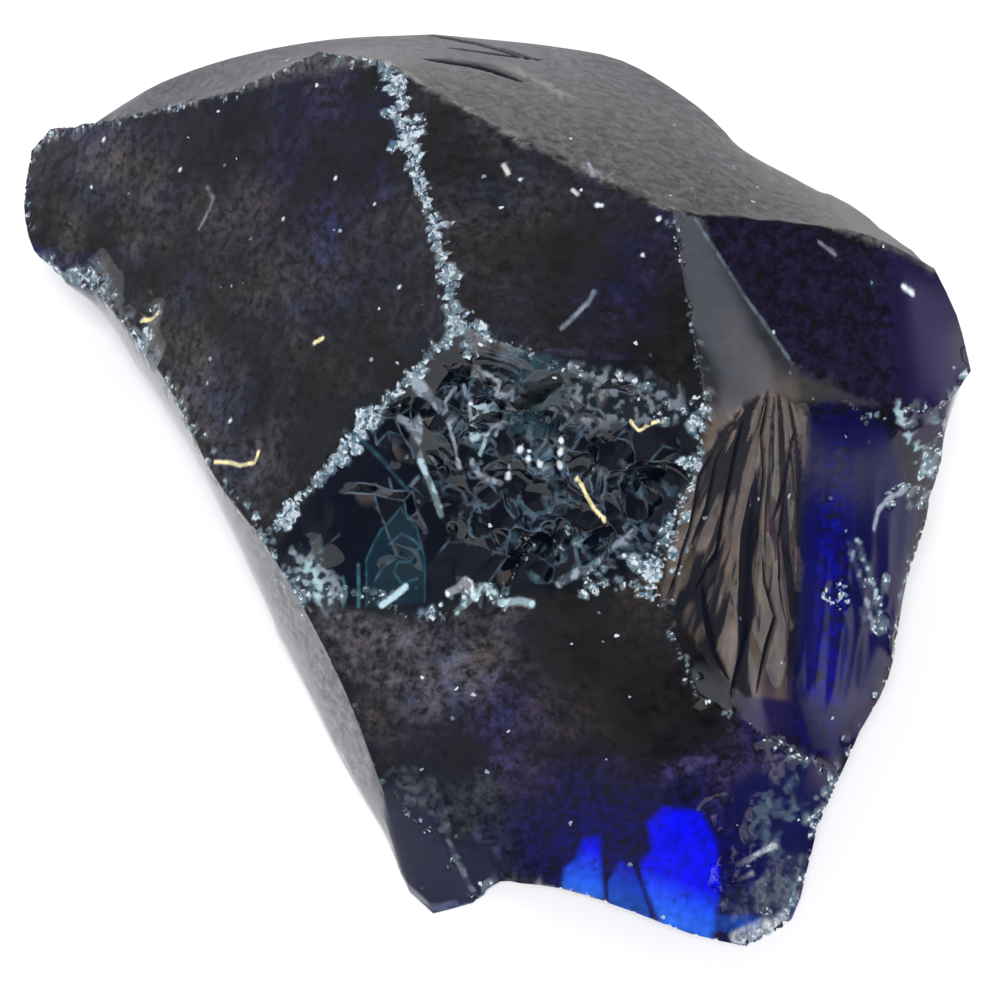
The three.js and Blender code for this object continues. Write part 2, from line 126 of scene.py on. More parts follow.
# ---- points and ridges on the chunk --------------------------------------------------------------
# Millimetres from the low corner of the chunk's box, along X, Y and Z.
POINTS = {
    "west_top": (13, 112, 33),
    "roof_west": (32, 103.5, 48),
    "roof_peak": (53, 96.5, 61),
    "roof_mid": (67.5, 84, 62),
    "roof_east": (88.5, 73, 59.5),
    "roof_far": (122.5, 74, 47),
    "west_end": (3.5, 118, 25),
    "west_tip": (0, 108, 20),
    "west_low": (6.5, 95, 19),
    "rim_west": (22.5, 74, 24),
    "rim_low": (37, 47.5, 25),
    "rim_foot": (42.5, 39.5, 21),
    "rim_mid": (48.5, 29, 15),
    "rim_south": (52.5, 19.5, 10.5),
    "nib": (64, 8.5, 0),
    "nib_top": (60, 13.5, 6.5),
    "crest": (62.5, 59.5, 54),
    "sill": (75, 54, 52),
    "shoulder": (92.5, 53.5, 47.5),
    "gutter": (91.5, 46, 43.5),
    "elbow": (86, 37, 31),
    "foot_west": (55, 38, 21),
    "foot_mid": (67.5, 37, 25),
    "foot_east": (78.5, 37.5, 28.5),
    "lip": (102, 62.5, 46),
    "arch_west": (101, 58, 43.5),
    "arch_fold": (106, 59, 41),
    "arch_mid": (111, 59, 39.5),
    "arch_far": (117.5, 57.5, 39),
    "arch_east": (123.5, 59, 38),
    "fold": (105.5, 46.5, 21.5),
    "heel_west": (92, 25, 24),
    "heel_mid": (102.5, 21.5, 17),
    "heel_east": (110.5, 21, 10.5),
    "toe_west": (67.5, 10.5, 2),
    "toe_near": (75, 8, 5),
    "toe_mid": (84, 4, 6.5),
    "toe_front": (91, 1, 6.5),
    "toe_south": (98, 0, 5),
    "toe_side": (104, 4.5, 3.5),
    "toe_east": (107.5, 15, 8),
    "east_tip": (127.5, 64.5, 38),
    "east_high": (124, 55, 27),
    "east_mid": (120.5, 47, 16),
    "east_low": (117.5, 34.5, 12),
    "east_foot": (113.5, 27.5, 10.5),
}

# Ridge lines: the points each one runs through, how crushed it is from 0 to 1, and how far in
# millimetres the crush spreads from it.
RIDGES = {
    "west_crown": (("roof_peak", "crest"), 1.1, 0.5),
    "west_rough": (("crest", "rim_low"), 1.3, 0.38),
    "crown_rough": (("crest", "sill", "shoulder"), 0.55, 0.6),
    "crown_ribbon": (("roof_east", "shoulder"), 0.3, 0.35),
    "rough_hackle": (("shoulder", "gutter", "elbow"), 1.2, 0.75),
    "rough_ramp": (("rim_foot", "foot_west", "foot_mid", "foot_east", "elbow"), 0.6, 0.55),
    "west_roof": (("west_top", "roof_west", "roof_peak"), 0.45, 0.35),
    "west_brow": (("west_end", "west_top"), 0.5, 0.6),
    "west_blunt": (("west_end", "west_tip", "west_low"), 0.7, 0.9),
    "west_side": (("west_low", "rim_west", "rim_low", "rim_foot"), 0.75, 1.0),
    "ramp_side": (("rim_foot", "rim_mid", "rim_south"), 0.12, 0.3),
    "nib_side": (("rim_south", "nib_top", "nib"), 0.4, 0.4),
    "ramp_hackle": (("elbow", "heel_west", "heel_mid", "heel_east"), 0.35, 0.4),
    "front_edge": (("nib", "toe_west", "toe_near", "toe_mid", "toe_front", "toe_south"), 0.35, 0.4),
    "lobe_edge": (("toe_south", "toe_side", "toe_east", "heel_east"), 0.75, 0.8),
    "east_side": (("arch_east", "east_high", "east_mid", "east_low", "east_foot", "heel_east"), 0.6, 0.9),
    "arch": (("arch_mid", "arch_far", "arch_east", "east_tip"), 0.3, 0.4),
    "roof_rim": (("roof_peak", "roof_mid", "roof_east", "roof_far"), 0.04, 0.3),
}

# Rough faces, by the points around them as seen from above, and how many times finer they get.
ROUGH_FACES = {
    "shattered": (("crest", "rim_low", "rim_foot", "foot_west", "foot_mid", "foot_east", "elbow", "gutter",
                   "shoulder", "sill"), 2),
    "hackled": (("arch_west", "gutter", "elbow", "heel_west", "heel_mid", "fold", "arch_fold"), 2),
    "flank": (("arch_fold", "fold", "heel_mid", "heel_east", "east_foot", "east_low", "east_mid", "east_high",
               "arch_east", "arch_far", "arch_mid"), 1),
    "lobe": (("heel_mid", "heel_east", "toe_east", "toe_side", "toe_south", "toe_front"), 2),
    "panes": (((74, 5, 0), (74, 15, 0), (96, 17, 0), (96, -2, 0), (88, -2, 0)), 2),
}


# ---- helpers ------------------------------------------------------------------------------------
def place_of(point):
    """The place in metres of a named point, or of one in millimetres from the box's low corner. A point
    with X and Y only, as seen from above, is put at the height of that corner."""
    x, y, *z = POINTS[point] if isinstance(point, str) else point
    return np.array(CAD_BOX[0]) + MM * np.array((x, y, *(z or (0,))))


def face_outline(name):
    """Corner places of a rough face."""
    return [place_of(corner) for corner in ROUGH_FACES[name][0]]


def only_select(obj):
    """Leaves obj as the one selected and active object."""
    bpy.ops.object.select_all(action="DESELECT")
    obj.select_set(True)
    bpy.context.view_layer.objects.active = obj


def rows_of(elements, field, width, kind=float):
    """Values of a mesh's vertices, edges, faces or loops, as the rows of an array."""
    values = np.empty(len(elements) * width, dtype=kind)
    elements.foreach_get(field, values)
    return values.reshape(-1, width)


def places(mesh):
    """Vertex positions as an array."""
    return rows_of(mesh.vertices, "co", 3)


def set_places(mesh, co):
    """Writes vertex positions back."""
    mesh.vertices.foreach_set("co", co.ravel())
    mesh.update()


def normals(mesh):
    """Vertex normals as an array."""
    return rows_of(mesh.vertices, "normal", 3)


def looks_up(outward):
    """True where a surface looks up rather than sideways or down, by its outward directions."""
    return outward[:, 2] > 0.05


def edges_of(mesh):
    """Vertex pairs of the edges as an array."""
    return rows_of(mesh.edges, "vertices", 2, np.int64)


def refine(obj, wanted):
    """Subdivides the faces that have a wanted vertex, and keeps the mesh in triangles."""
    mesh = obj.data
    picked = wanted[rows_of(mesh.polygons, "vertices", 3, np.int64)].any(axis=1)
    mesh.vertices.foreach_set("select", np.zeros(len(mesh.vertices), dtype=bool))
    mesh.edges.foreach_set("select", np.zeros(len(mesh.edges), dtype=bool))
    mesh.polygons.foreach_set("select", picked)
    only_select(obj)
    bpy.ops.object.mode_set(mode="EDIT")
    bpy.ops.mesh.select_mode(type="FACE")
    bpy.ops.mesh.subdivide(number_cuts=1)
    bpy.ops.mesh.select_all(action="SELECT")
    bpy.ops.mesh.quads_convert_to_tris()
    bpy.ops.object.mode_set(mode="OBJECT")


def relax(co, pairs, free, rounds):
    """Moves free vertices towards the mean of their neighbours, a few rounds."""
    count = np.bincount(pairs.ravel(), minlength=len(co))[:, None]
    for _ in range(rounds):
        total = np.zeros_like(co)
        np.add.at(total, pairs[:, 0], co[pairs[:, 1]])
        np.add.at(total, pairs[:, 1], co[pairs[:, 0]])
        co = np.where(free[:, None], 0.5 * co + 0.5 * total / count, co)
    return co


def is_inside(co, corners):
    """True for the places inside an outline of corners, as seen from above."""
    inside = np.zeros(len(co), dtype=bool)
    for start, end in zip(corners, corners[1:] + corners[:1]):
        crosses = (start[1] > co[:, 1]) != (end[1] > co[:, 1])
        rise = end[1] - start[1] or 1e-12
        border = (end[0] - start[0]) * (co[:, 1] - start[1]) / rise + start[0]
        inside ^= crosses & (co[:, 0] < border)
    return inside


LINE_STEP = 0.7 * MM


def dense_line(points, step):
    """Places every step along a line of points."""
    lengths = np.linalg.norm(np.diff(points, axis=0), axis=1)
    along = np.concatenate([[0.0], np.cumsum(lengths)])
    wanted = np.arange(0.0, along[-1], step)
    return np.stack([np.interp(wanted, along, points[:, axis]) for axis in range(3)], axis=1)


def tree_of(co):
    """A tree for finding the places near another one."""
    tree = KDTree(len(co))
    for index, place in enumerate(co):
        tree.insert(place, index)
    tree.balance()
    return tree


def distance_to(lines, co):
    """Distance of every place to the nearest of the lines."""
    tree = tree_of(np.concatenate([dense_line(line, LINE_STEP) for line in lines]))
    return np.array([tree.find(Vector(place))[2] for place in co])


# ---- the chunk's mesh ---------------------------------------------------------------------------
# Smoothing keeps the edges that are sharper than SHARP. A ridge is traced along sharp edges because
# they are cheap to follow: an edge of KEENEST or more costs its length less this share.
SHARP = math.radians(22)
KEENEST = math.radians(35)
KEEN_DISCOUNT = 0.85


def sharpness(mesh):
    """Angle in radians between the two triangles at every edge."""
    face_normals = rows_of(mesh.polygons, "normal", 3)
    edge_ids = rows_of(mesh.loops, "edge_index", 1, np.int64).ravel()
    beside = (np.argsort(edge_ids, kind="stable") // 3).reshape(-1, 2)
    cosine = np.einsum("ij,ij->i", face_normals[beside[:, 0]], face_normals[beside[:, 1]])
    return np.arccos(np.clip(cosine, -1.0, 1.0))


def shortest(roads, start, goal):
    """Cheapest way over the edges from one vertex to another."""
    best = {start: 0.0}
    came = {}
    queue = [(0.0, start)]
    while queue:
        cost, here = heapq.heappop(queue)
        if here == goal:
            break
        for there, step in roads[here]:
            total = cost + step
            if total < best.get(there, math.inf):
                best[there] = total
                came[there] = here
                heapq.heappush(queue, (total, there))
    path = [goal]
    while path[-1] != start:
        path.append(came[path[-1]])
    return path[::-1]


def trace_ridges(mesh):
    """Follows the sharpest edges from point to point, as {ridge: array of places}."""
    co = places(mesh)
    keenness = np.minimum(1.0, sharpness(mesh) / KEENEST)
    roads = [[] for _ in co]
    for (a, b), keen in zip(edges_of(mesh), keenness):
        cost = np.linalg.norm(co[a] - co[b]) * (1.0 - KEEN_DISCOUNT * keen)
        roads[a].append((b, cost))
        roads[b].append((a, cost))
    nearest = {name: int(np.argmin(np.linalg.norm(co - place_of(name), axis=1))) for name in POINTS}
    traced = {}
    for ridge, (stops, _, _) in RIDGES.items():
        path = [nearest[stops[0]]]
        for stop in stops[1:]:
            path += shortest(roads, path[-1], nearest[stop])[1:]
        traced[ridge] = co[path]
    return traced


def copy_of_solid():
    """A welded copy of the chunk's CAD solid, as an object of its own."""
    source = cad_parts[NODE]
    obj = source.copy()
    obj.data = source.data.copy()
    obj.name = obj.data.name = "glass_chunk_detail"
    obj.parent = None
    bpy.context.scene.collection.objects.link(obj)
    for key in list(obj.keys()):
        del obj[key]
    only_select(obj)
    bpy.ops.object.mode_set(mode="EDIT")
    bpy.ops.mesh.select_all(action="SELECT")
    bpy.ops.mesh.remove_doubles(threshold=1e-6)
    bpy.ops.object.mode_set(mode="OBJECT")
    return obj


def settle(obj, rounds):
    """Smooths the faces but keeps the sharp ridges and the face it rests on."""
    mesh = obj.data
    co = places(mesh)
    pairs = edges_of(mesh)
    free = co[:, 2] > 1e-5
    free[pairs[sharpness(mesh) > SHARP].ravel()] = False
    set_places(mesh, relax(co, pairs, free, rounds))


KEPT_BORDER = 0.6 * MM


def soften_face(mesh, name, rounds):
    """Rounds off the inside of a face, well away from its border."""
    co = places(mesh)
    corners = [POINTS[corner][:2] for corner in ROUGH_FACES[name][0]]
    free = (share_inside(corners, 0.1, co) > 0.9) & (from_outline(corners, co) > KEPT_BORDER)
    set_places(mesh, relax(co, edges_of(mesh), free & looks_up(normals(mesh)), rounds))


FAINT_RIDGE = "roof_rim"
PANE_REACH = 0.5 * MM
LINE_REACH_STEP = 0.24
DOT_REACH_STEP = 0.2


def is_fine(half, cover, broken):
    """True for a mark that is so thin, whole and plain that it needs small triangles."""
    return half < 0.4 and cover > 0.3 and broken < 0.8


def reach_of(half, step, level):
    """How far around a mark of a half width in millimetres the triangles get finer, a step less at
    every level."""
    return (0.7 * half + 0.58 - step * level) * MM


def from_dot(x, y, co):
    """Distance of every place to a dot, as seen from above."""
    return np.hypot(*(co[:, :2] - place_of((x, y))[:2]).T)


def from_outline(corners, co):
    """Distance of every place to an outline, as seen from above."""
    return distance_along([*corners, corners[0]], co)[0]


def refine_in_steps(obj, traced, settings):
    """Makes the triangles finer all over, then on the rough faces, then along the ridges and marks."""
    lines = [(points, half) for points, half, _ in SLITS]
    lines += [(points, half) for points, half, _, _, cover, broken in MARKS if is_fine(half, cover, broken)]
    refine(obj, np.ones(len(obj.data.vertices), dtype=bool))
    settle(obj, 6)
    for level, band in enumerate((settings.band, settings.band, settings.core)):
        co, outward = places(obj.data), normals(obj.data)
        upward = looks_up(outward)
        ridges = [line for ridge, line in traced.items() if level == 0 or ridge != FAINT_RIDGE]
        wanted = (distance_to(ridges, co) < band) & (outward[:, 2] > 0)
        for points, half in lines:
            reach = reach_of(min(half, 0.5), LINE_REACH_STEP, level)
            wanted |= upward & (distance_along(points, co)[0] < reach)
        for x, y, half in DOTS:
            wanted |= upward & (from_dot(x, y, co) < reach_of(half, DOT_REACH_STEP, level))
        for corners, _, _ in GLOWING_PANES:
            wanted |= upward & (from_outline(corners, co) < PANE_REACH)
        for name, (_, levels) in ROUGH_FACES.items():
            if level < levels:
                wanted |= upward & is_inside(co, face_outline(name))
        refine(obj, wanted)
        settle(obj, 2)
        if level == 0:
            soften_face(obj.data, "flank", 60)


# Chips knocked out of the surface: where (a named point or millimetres from the box's low corner),
# how far around it, how many, smallest and largest half width, all in millimetres, and how crushed.
CHIP_PATCHES = {
    "shattered top": ((70, 55, 46), 9, 90, (0.5, 2.0), 0.0),
    "shattered middle": ((67, 49, 36), 9, 110, (0.4, 2.0), 0.0),
    "shattered east": ((80, 46, 36), 11, 150, (0.4, 2.2), 0.0),
    "crest": ("crest", 5, 30, (0.3, 1.2), 0.8),
    "peak": ((50.5, 97, 60), 3, 14, (0.4, 1.2), 0.6),
    "arch": ("arch_east", 6, 24, (0.4, 1.6), 0.55),
    "east side": ((121, 54, 29), 5, 26, (0.4, 1.8), 0.6),
    "east side, low": ((115, 42, 17), 6, 26, (0.4, 1.8), 0.45),
    "toe, back": ((99.5, 17.5, 13), 6.5, 150, (0.3, 1.4), 0.0),
    "toe, front": ((101, 7.5, 7), 6.5, 150, (0.3, 1.3), 0.12),
    "west rim": ("west_low", 9, 40, (0.4, 2.0), 0.45),
    "west face": ((17, 82, 25), 6, 30, (0.6, 2.2), 0.3),
    "elbow": ("elbow", 4, 22, (0.3, 1.2), 0.6),
}

# Narrow slits between the feathers of the hackled face and on the roof, with painted shade inside: the
# line as seen from above, in millimetres from the box's low corner, then half width and depth in millimetres.
SLITS = (
    (((101, 57), (100, 52.5), (100.5, 49.5), (100, 45.5), (99.5, 43.5)), 0.25, 0.45),
    (((97.5, 53), (96.5, 49.5), (95.5, 45.5), (94.5, 41), (91.5, 36)), 0.25, 0.45),
    (((104.5, 55.5), (103.5, 51), (102, 47)), 0.25, 0.4),
    (((99.5, 48.5), (98.5, 43.5), (98.5, 39), (98, 34), (97.5, 31.5)), 1.0, 0.8),
    (((93.5, 48), (92, 45.5), (91, 41.5), (89.5, 38), (88, 35)), 0.25, 0.4),
    (((95.5, 50), (94, 47.5), (93, 44), (91, 40)), 0.2, 0.3),
    (((100.5, 43), (101, 41), (102.5, 38), (101, 33), (99.5, 27)), 0.32, 0.5),
    (((92.5, 37), (93, 34), (94, 30.5), (96, 27.5)), 0.5, 0.6),
    (((98.5, 35.5), (98, 32.5), (97, 29), (96, 25.5)), 0.28, 0.45),
    (((103.5, 50), (103, 46.5), (103, 42), (104, 38.5)), 0.25, 0.4),
    (((58, 114), (65, 112), (71.5, 107.5)), 0.6, 0.8),
    (((67.5, 111.5), (73, 107.5)), 0.35, 0.5),
    (((60.5, 108.5), (67.5, 108), (73.5, 108.5)), 0.5, 0.5),
    (((57.5, 101.5), (63, 102), (66, 101.5), (70.5, 98.5)), 1.1, 0.7),
)

# Long shallow grooves down the flank, given in the same way.
GROOVES = (
    (((108, 55), (108.5, 49), (107.5, 39), (106, 29)), 1.0, 0.22),
    (((110.5, 55), (111, 49.5), (110, 39), (108.5, 28)), 1.2, 0.25),
    (((113, 54.5), (113.5, 49), (113, 39.5), (111, 30)), 1.1, 0.25),
    (((116, 53.5), (116.5, 47), (115, 39), (113.5, 32)), 1.2, 0.25),
    (((119, 53), (118.5, 46.5)), 1.0, 0.22),
)


def frame_around(axis, random):
    """Three unit directions, the last one along the axis and the others turned at random."""
    side = np.cross(axis, random.normal(size=3))
    side /= np.linalg.norm(side)
    return np.stack([side, np.cross(axis, side), axis])


def push_out(co, near, centre, axes, sizes):
    """Pushes the vertices inside an egg out to its surface and returns which ones moved."""
    offset = ((co[near] - centre) @ axes.T) / sizes
    length = np.linalg.norm(offset, axis=1)
    inside = length < 1.0
    moved = near[inside]
    fixed = offset[inside] / np.maximum(length[inside, None], 1e-9) * sizes
    co[moved] = centre + fixed @ axes
    return moved


def vertices_near(tree, place, reach):
    """Indices of the vertices within reach of a place."""
    return np.array([index for _, index, _ in tree.find_range(Vector(place), reach)], dtype=np.int64)


# A chip's depth and width as shares of its length, each with its random part, how far it leans over
# and how far around its middle it reaches. Of the crushed chips, this share is fully crushed.
CHIP_DEPTH, CHIP_DEEPER = 0.10, 0.14
CHIP_WIDTH, CHIP_WIDER = 0.3, 0.5
CHIP_LEAN = 0.22
CHIP_REACH = 1.3
FULLY_CRUSHED = 0.6


def knock_chips(co, outward, crush, random):
    """Knocks long shell-shaped chips out of the surface, patch by patch."""
    tree = tree_of(co)
    for where, reach, count, (small, large), level in CHIP_PATCHES.values():
        patch = vertices_near(tree, place_of(where), reach * MM)
        patch = patch[looks_up(outward[patch])]
        for _ in range(count):
            hit = patch[random.integers(len(patch))]
            half = MM * (small + (large - small) * random.random() ** 2)
            depth = half * (CHIP_DEPTH + CHIP_DEEPER * random.random())
            radius = (half * half + depth * depth) / (2 * depth)
            lean = outward[hit] + CHIP_LEAN * random.normal(size=3)
            lean /= np.linalg.norm(lean)
            sizes = radius * np.array([1.0, CHIP_WIDTH + CHIP_WIDER * random.random(), 1.0])
            centre = co[hit] + lean * (radius - depth)
            near = vertices_near(tree, co[hit], CHIP_REACH * half)
            moved = push_out(co, near, centre, frame_around(lean, random), sizes)
            fresh = level * random.random() ** 0.5
            fresh *= 1.0 if random.random() < FULLY_CRUSHED else 0.3
            crush[moved] = np.maximum(0.5 * crush[moved], fresh)


def distance_along(points, co):
    """Distance of every place to a line of points, and the share of the line it lies at. Both are taken
    as seen from above where the points have X and Y only."""
    line = np.array([place_of(point) for point in points])
    if len(points[0]) == 2:
        co = co * (1, 1, 0)
    lengths = np.linalg.norm(np.diff(line, axis=0), axis=1)
    starts = np.concatenate([[0.0], np.cumsum(lengths)])
    nearest = np.full(len(co), np.inf)
    share = np.zeros(len(co))
    for start, end, length, before in zip(line, line[1:], lengths, starts):
        step = np.clip((co - start) @ (end - start) / length**2, 0.0, 1.0)
        distance = np.linalg.norm(co - start - step[:, None] * (end - start), axis=1)
        closer = distance < nearest
        nearest[closer] = distance[closer]
        share[closer] = (before + step[closer] * length) / starts[-1]
    return nearest, share


# How wide a slit stays at its tips, how steep its walls are, and how soon its painted shade is full.
SLIT_TIP = 0.05
SLIT_STEEP = 1.6
SLIT_DARK = 2.5


def cut_slits(co, outward):
    """Cuts tapering slits and shallow grooves, and returns how much painted shade every vertex gets for lying
    deep in a slit, 0 to 1.
    """
    depths = np.zeros(len(co))
    for lines, is_slit in ((SLITS, True), (GROOVES, False)):
        for points, half, depth in lines:
            distance, share = distance_along(points, co)
            taper = np.sqrt(np.clip(4.0 * share * (1.0 - share), 0.0, 1.0)) + SLIT_TIP
            profile = np.clip(1.0 - distance / (half * MM * taper), 0.0, 1.0)
            inside = (profile > 0) & looks_up(outward)
            fall = depth * MM * taper * np.minimum(SLIT_STEEP * profile, 1.0)
            co[inside] -= outward[inside] * fall[inside, None]
            if is_slit:
                dark = np.minimum(SLIT_DARK * profile[inside], 1.0)
                depths[inside] = np.maximum(depths[inside], dark)
    return depths


# Crumbs are sown along a ridge. Their number swells and ebbs in gusts, each gust so many crumbs long.
CRUMB_STEP = 0.5 * MM
CRUMBS_PER_STEP = 5
CRUMBS_PER_GUST = 24
GUST_LOW, GUST_MORE = 0.35, 1.1
CRUMB_TILT = 0.45
CRUMB_REACH = 3 * MM
DEEPEST_CRUMB = 0.6 * MM


def crumble_ridges(co, outward, crush, traced, random):
    """Breaks small angular crumbs out of the ridges, in gusts. Each one has its own tilt and drop."""
    seeds, levels = [], []
    for ridge, (_, strength, spread) in RIDGES.items():
        dots = np.repeat(dense_line(traced[ridge], CRUMB_STEP), CRUMBS_PER_STEP, axis=0)
        knots = random.random(len(dots) // CRUMBS_PER_GUST + 2)
        gust = np.interp(np.linspace(0, len(knots) - 1, len(dots)), range(len(knots)), knots)
        gust = GUST_LOW + GUST_MORE * gust
        kept = random.random(len(dots)) < strength * gust
        aside = random.normal(size=(len(dots), 3)) * (spread * MM * gust)[:, None]
        seeds.append((dots + aside)[kept])
        levels.append((strength * np.minimum(gust, 1.2))[kept])
    seeds, levels = np.concatenate(seeds), np.concatenate(levels)
    radius = MM * (0.2 + 0.6 * levels * random.random(len(seeds)))
    drop = radius * (0.05 + 0.45 * random.random(len(seeds)))
    tilt = random.normal(size=(len(seeds), 3)) * CRUMB_TILT
    paleness = 0.55 + 0.45 * (np.arange(len(seeds)) % 7) / 6
    seed_tree = tree_of(seeds)
    for index in np.nonzero(distance_to(traced.values(), co) < CRUMB_REACH)[0]:
        _, seed, distance = seed_tree.find(Vector(co[index]))
        if distance < radius[seed]:
            fall = drop[seed] + tilt[seed] @ (co[index] - seeds[seed])
            co[index] -= outward[index] * min(max(fall, 0.0), DEEPEST_CRUMB)
            crush[index] = max(crush[index], levels[seed] * paleness[seed])


# ---- marks on the surface -----------------------------------------------------------------------
BROWN = (0.32, 0.27, 0.25)
DUST = (0.40, 0.39, 0.48)
VIOLET = (0.20, 0.16, 0.50)
INDIGO = (0.05, 0.05, 0.42)
SLATE = (0.30, 0.37, 0.44)
TEAL = (0.05, 0.15, 0.21)
FOAM = (0.46, 0.66, 0.72)
FROST = (0.80, 0.88, 0.92)
NAVY = (0.003, 0.003, 0.30)
COBALT = (0.0, 0.002, 0.90)
AZURE = (0.02, 0.15, 0.92)
STRAW = (0.95, 0.85, 0.45)
GRAZING_SHEEN = (0.60, 0.60, 0.66)
SMOKE = (0.016, 0.018, 0.040)
PAINTED_SHADE = (0.003, 0.004, 0.010)
POOL = (0.002, 0.005, 0.014)
LEAF_REFLECTION = (0.006, 0.036, 0.058)
FEATHER_SHEEN = (0.220, 0.172, 0.142)
PLUM = (0.075, 0.055, 0.200)
RIBBON = (0.085, 0.092, 0.115)
BRIM = (0.085, 0.078, 0.078)
DUSK = (0.003, 0.003, 0.055)
STEEL = (0.20, 0.33, 0.46)
PURPLE = (0.024, 0.012, 0.110)
DEEP = (0.003, 0.006, 0.090)
SATIN = (0.36, 0.35, 0.36)
PALE = (0.72, 0.72, 0.66)

# The dusty film over the faces: millimetres from the box's low corner, colour, cover.
FILMS = (
    ((15, 100, 30), DUST, 0.040),
    ((32, 82, 37), DUST, 0.028),
    ((46, 89, 53), VIOLET, 0.042),
    ((34, 62, 28), DUST, 0.040),
    ((65, 76, 58), DUST, 0.023),
    ((84, 64, 54), VIOLET, 0.022),
    ((50, 44, 25), TEAL, 0.004),
    ((70, 50, 40), TEAL, 0.018),
    ((80, 44, 34), BROWN, 0.030),
    ((49, 37, 20), BROWN, 0.070),
    ((60, 32, 19), DUST, 0.060),
    ((80, 31, 23), BROWN, 0.016),
    ((67, 24, 15), VIOLET, 0.044),
    ((85, 26, 21), BROWN, 0.008),
    ((60, 18, 9), SLATE, 0.010),
    ((74, 16, 10), VIOLET, 0.020),
    ((97, 18, 15), VIOLET, 0.040),
    ((104, 17, 9), INDIGO, 0.020),
    ((94, 60, 50), DUST, 0.004),
    ((104, 62, 45), BROWN, 0.004),
    ((97, 48, 38), BROWN, 0.004),
    ((97, 33, 26), BROWN, 0.004),
    ((106, 72, 50), DUST, 0.040),
    ((116, 68, 46), VIOLET, 0.040),
    ((112, 45, 22), INDIGO, 0.012),
    ((60, 108, 52), DUST, 0.012),
    ((100, 82, 50), DUST, 0.012),
    ((25, 105, 42), DUST, 0.012),
)
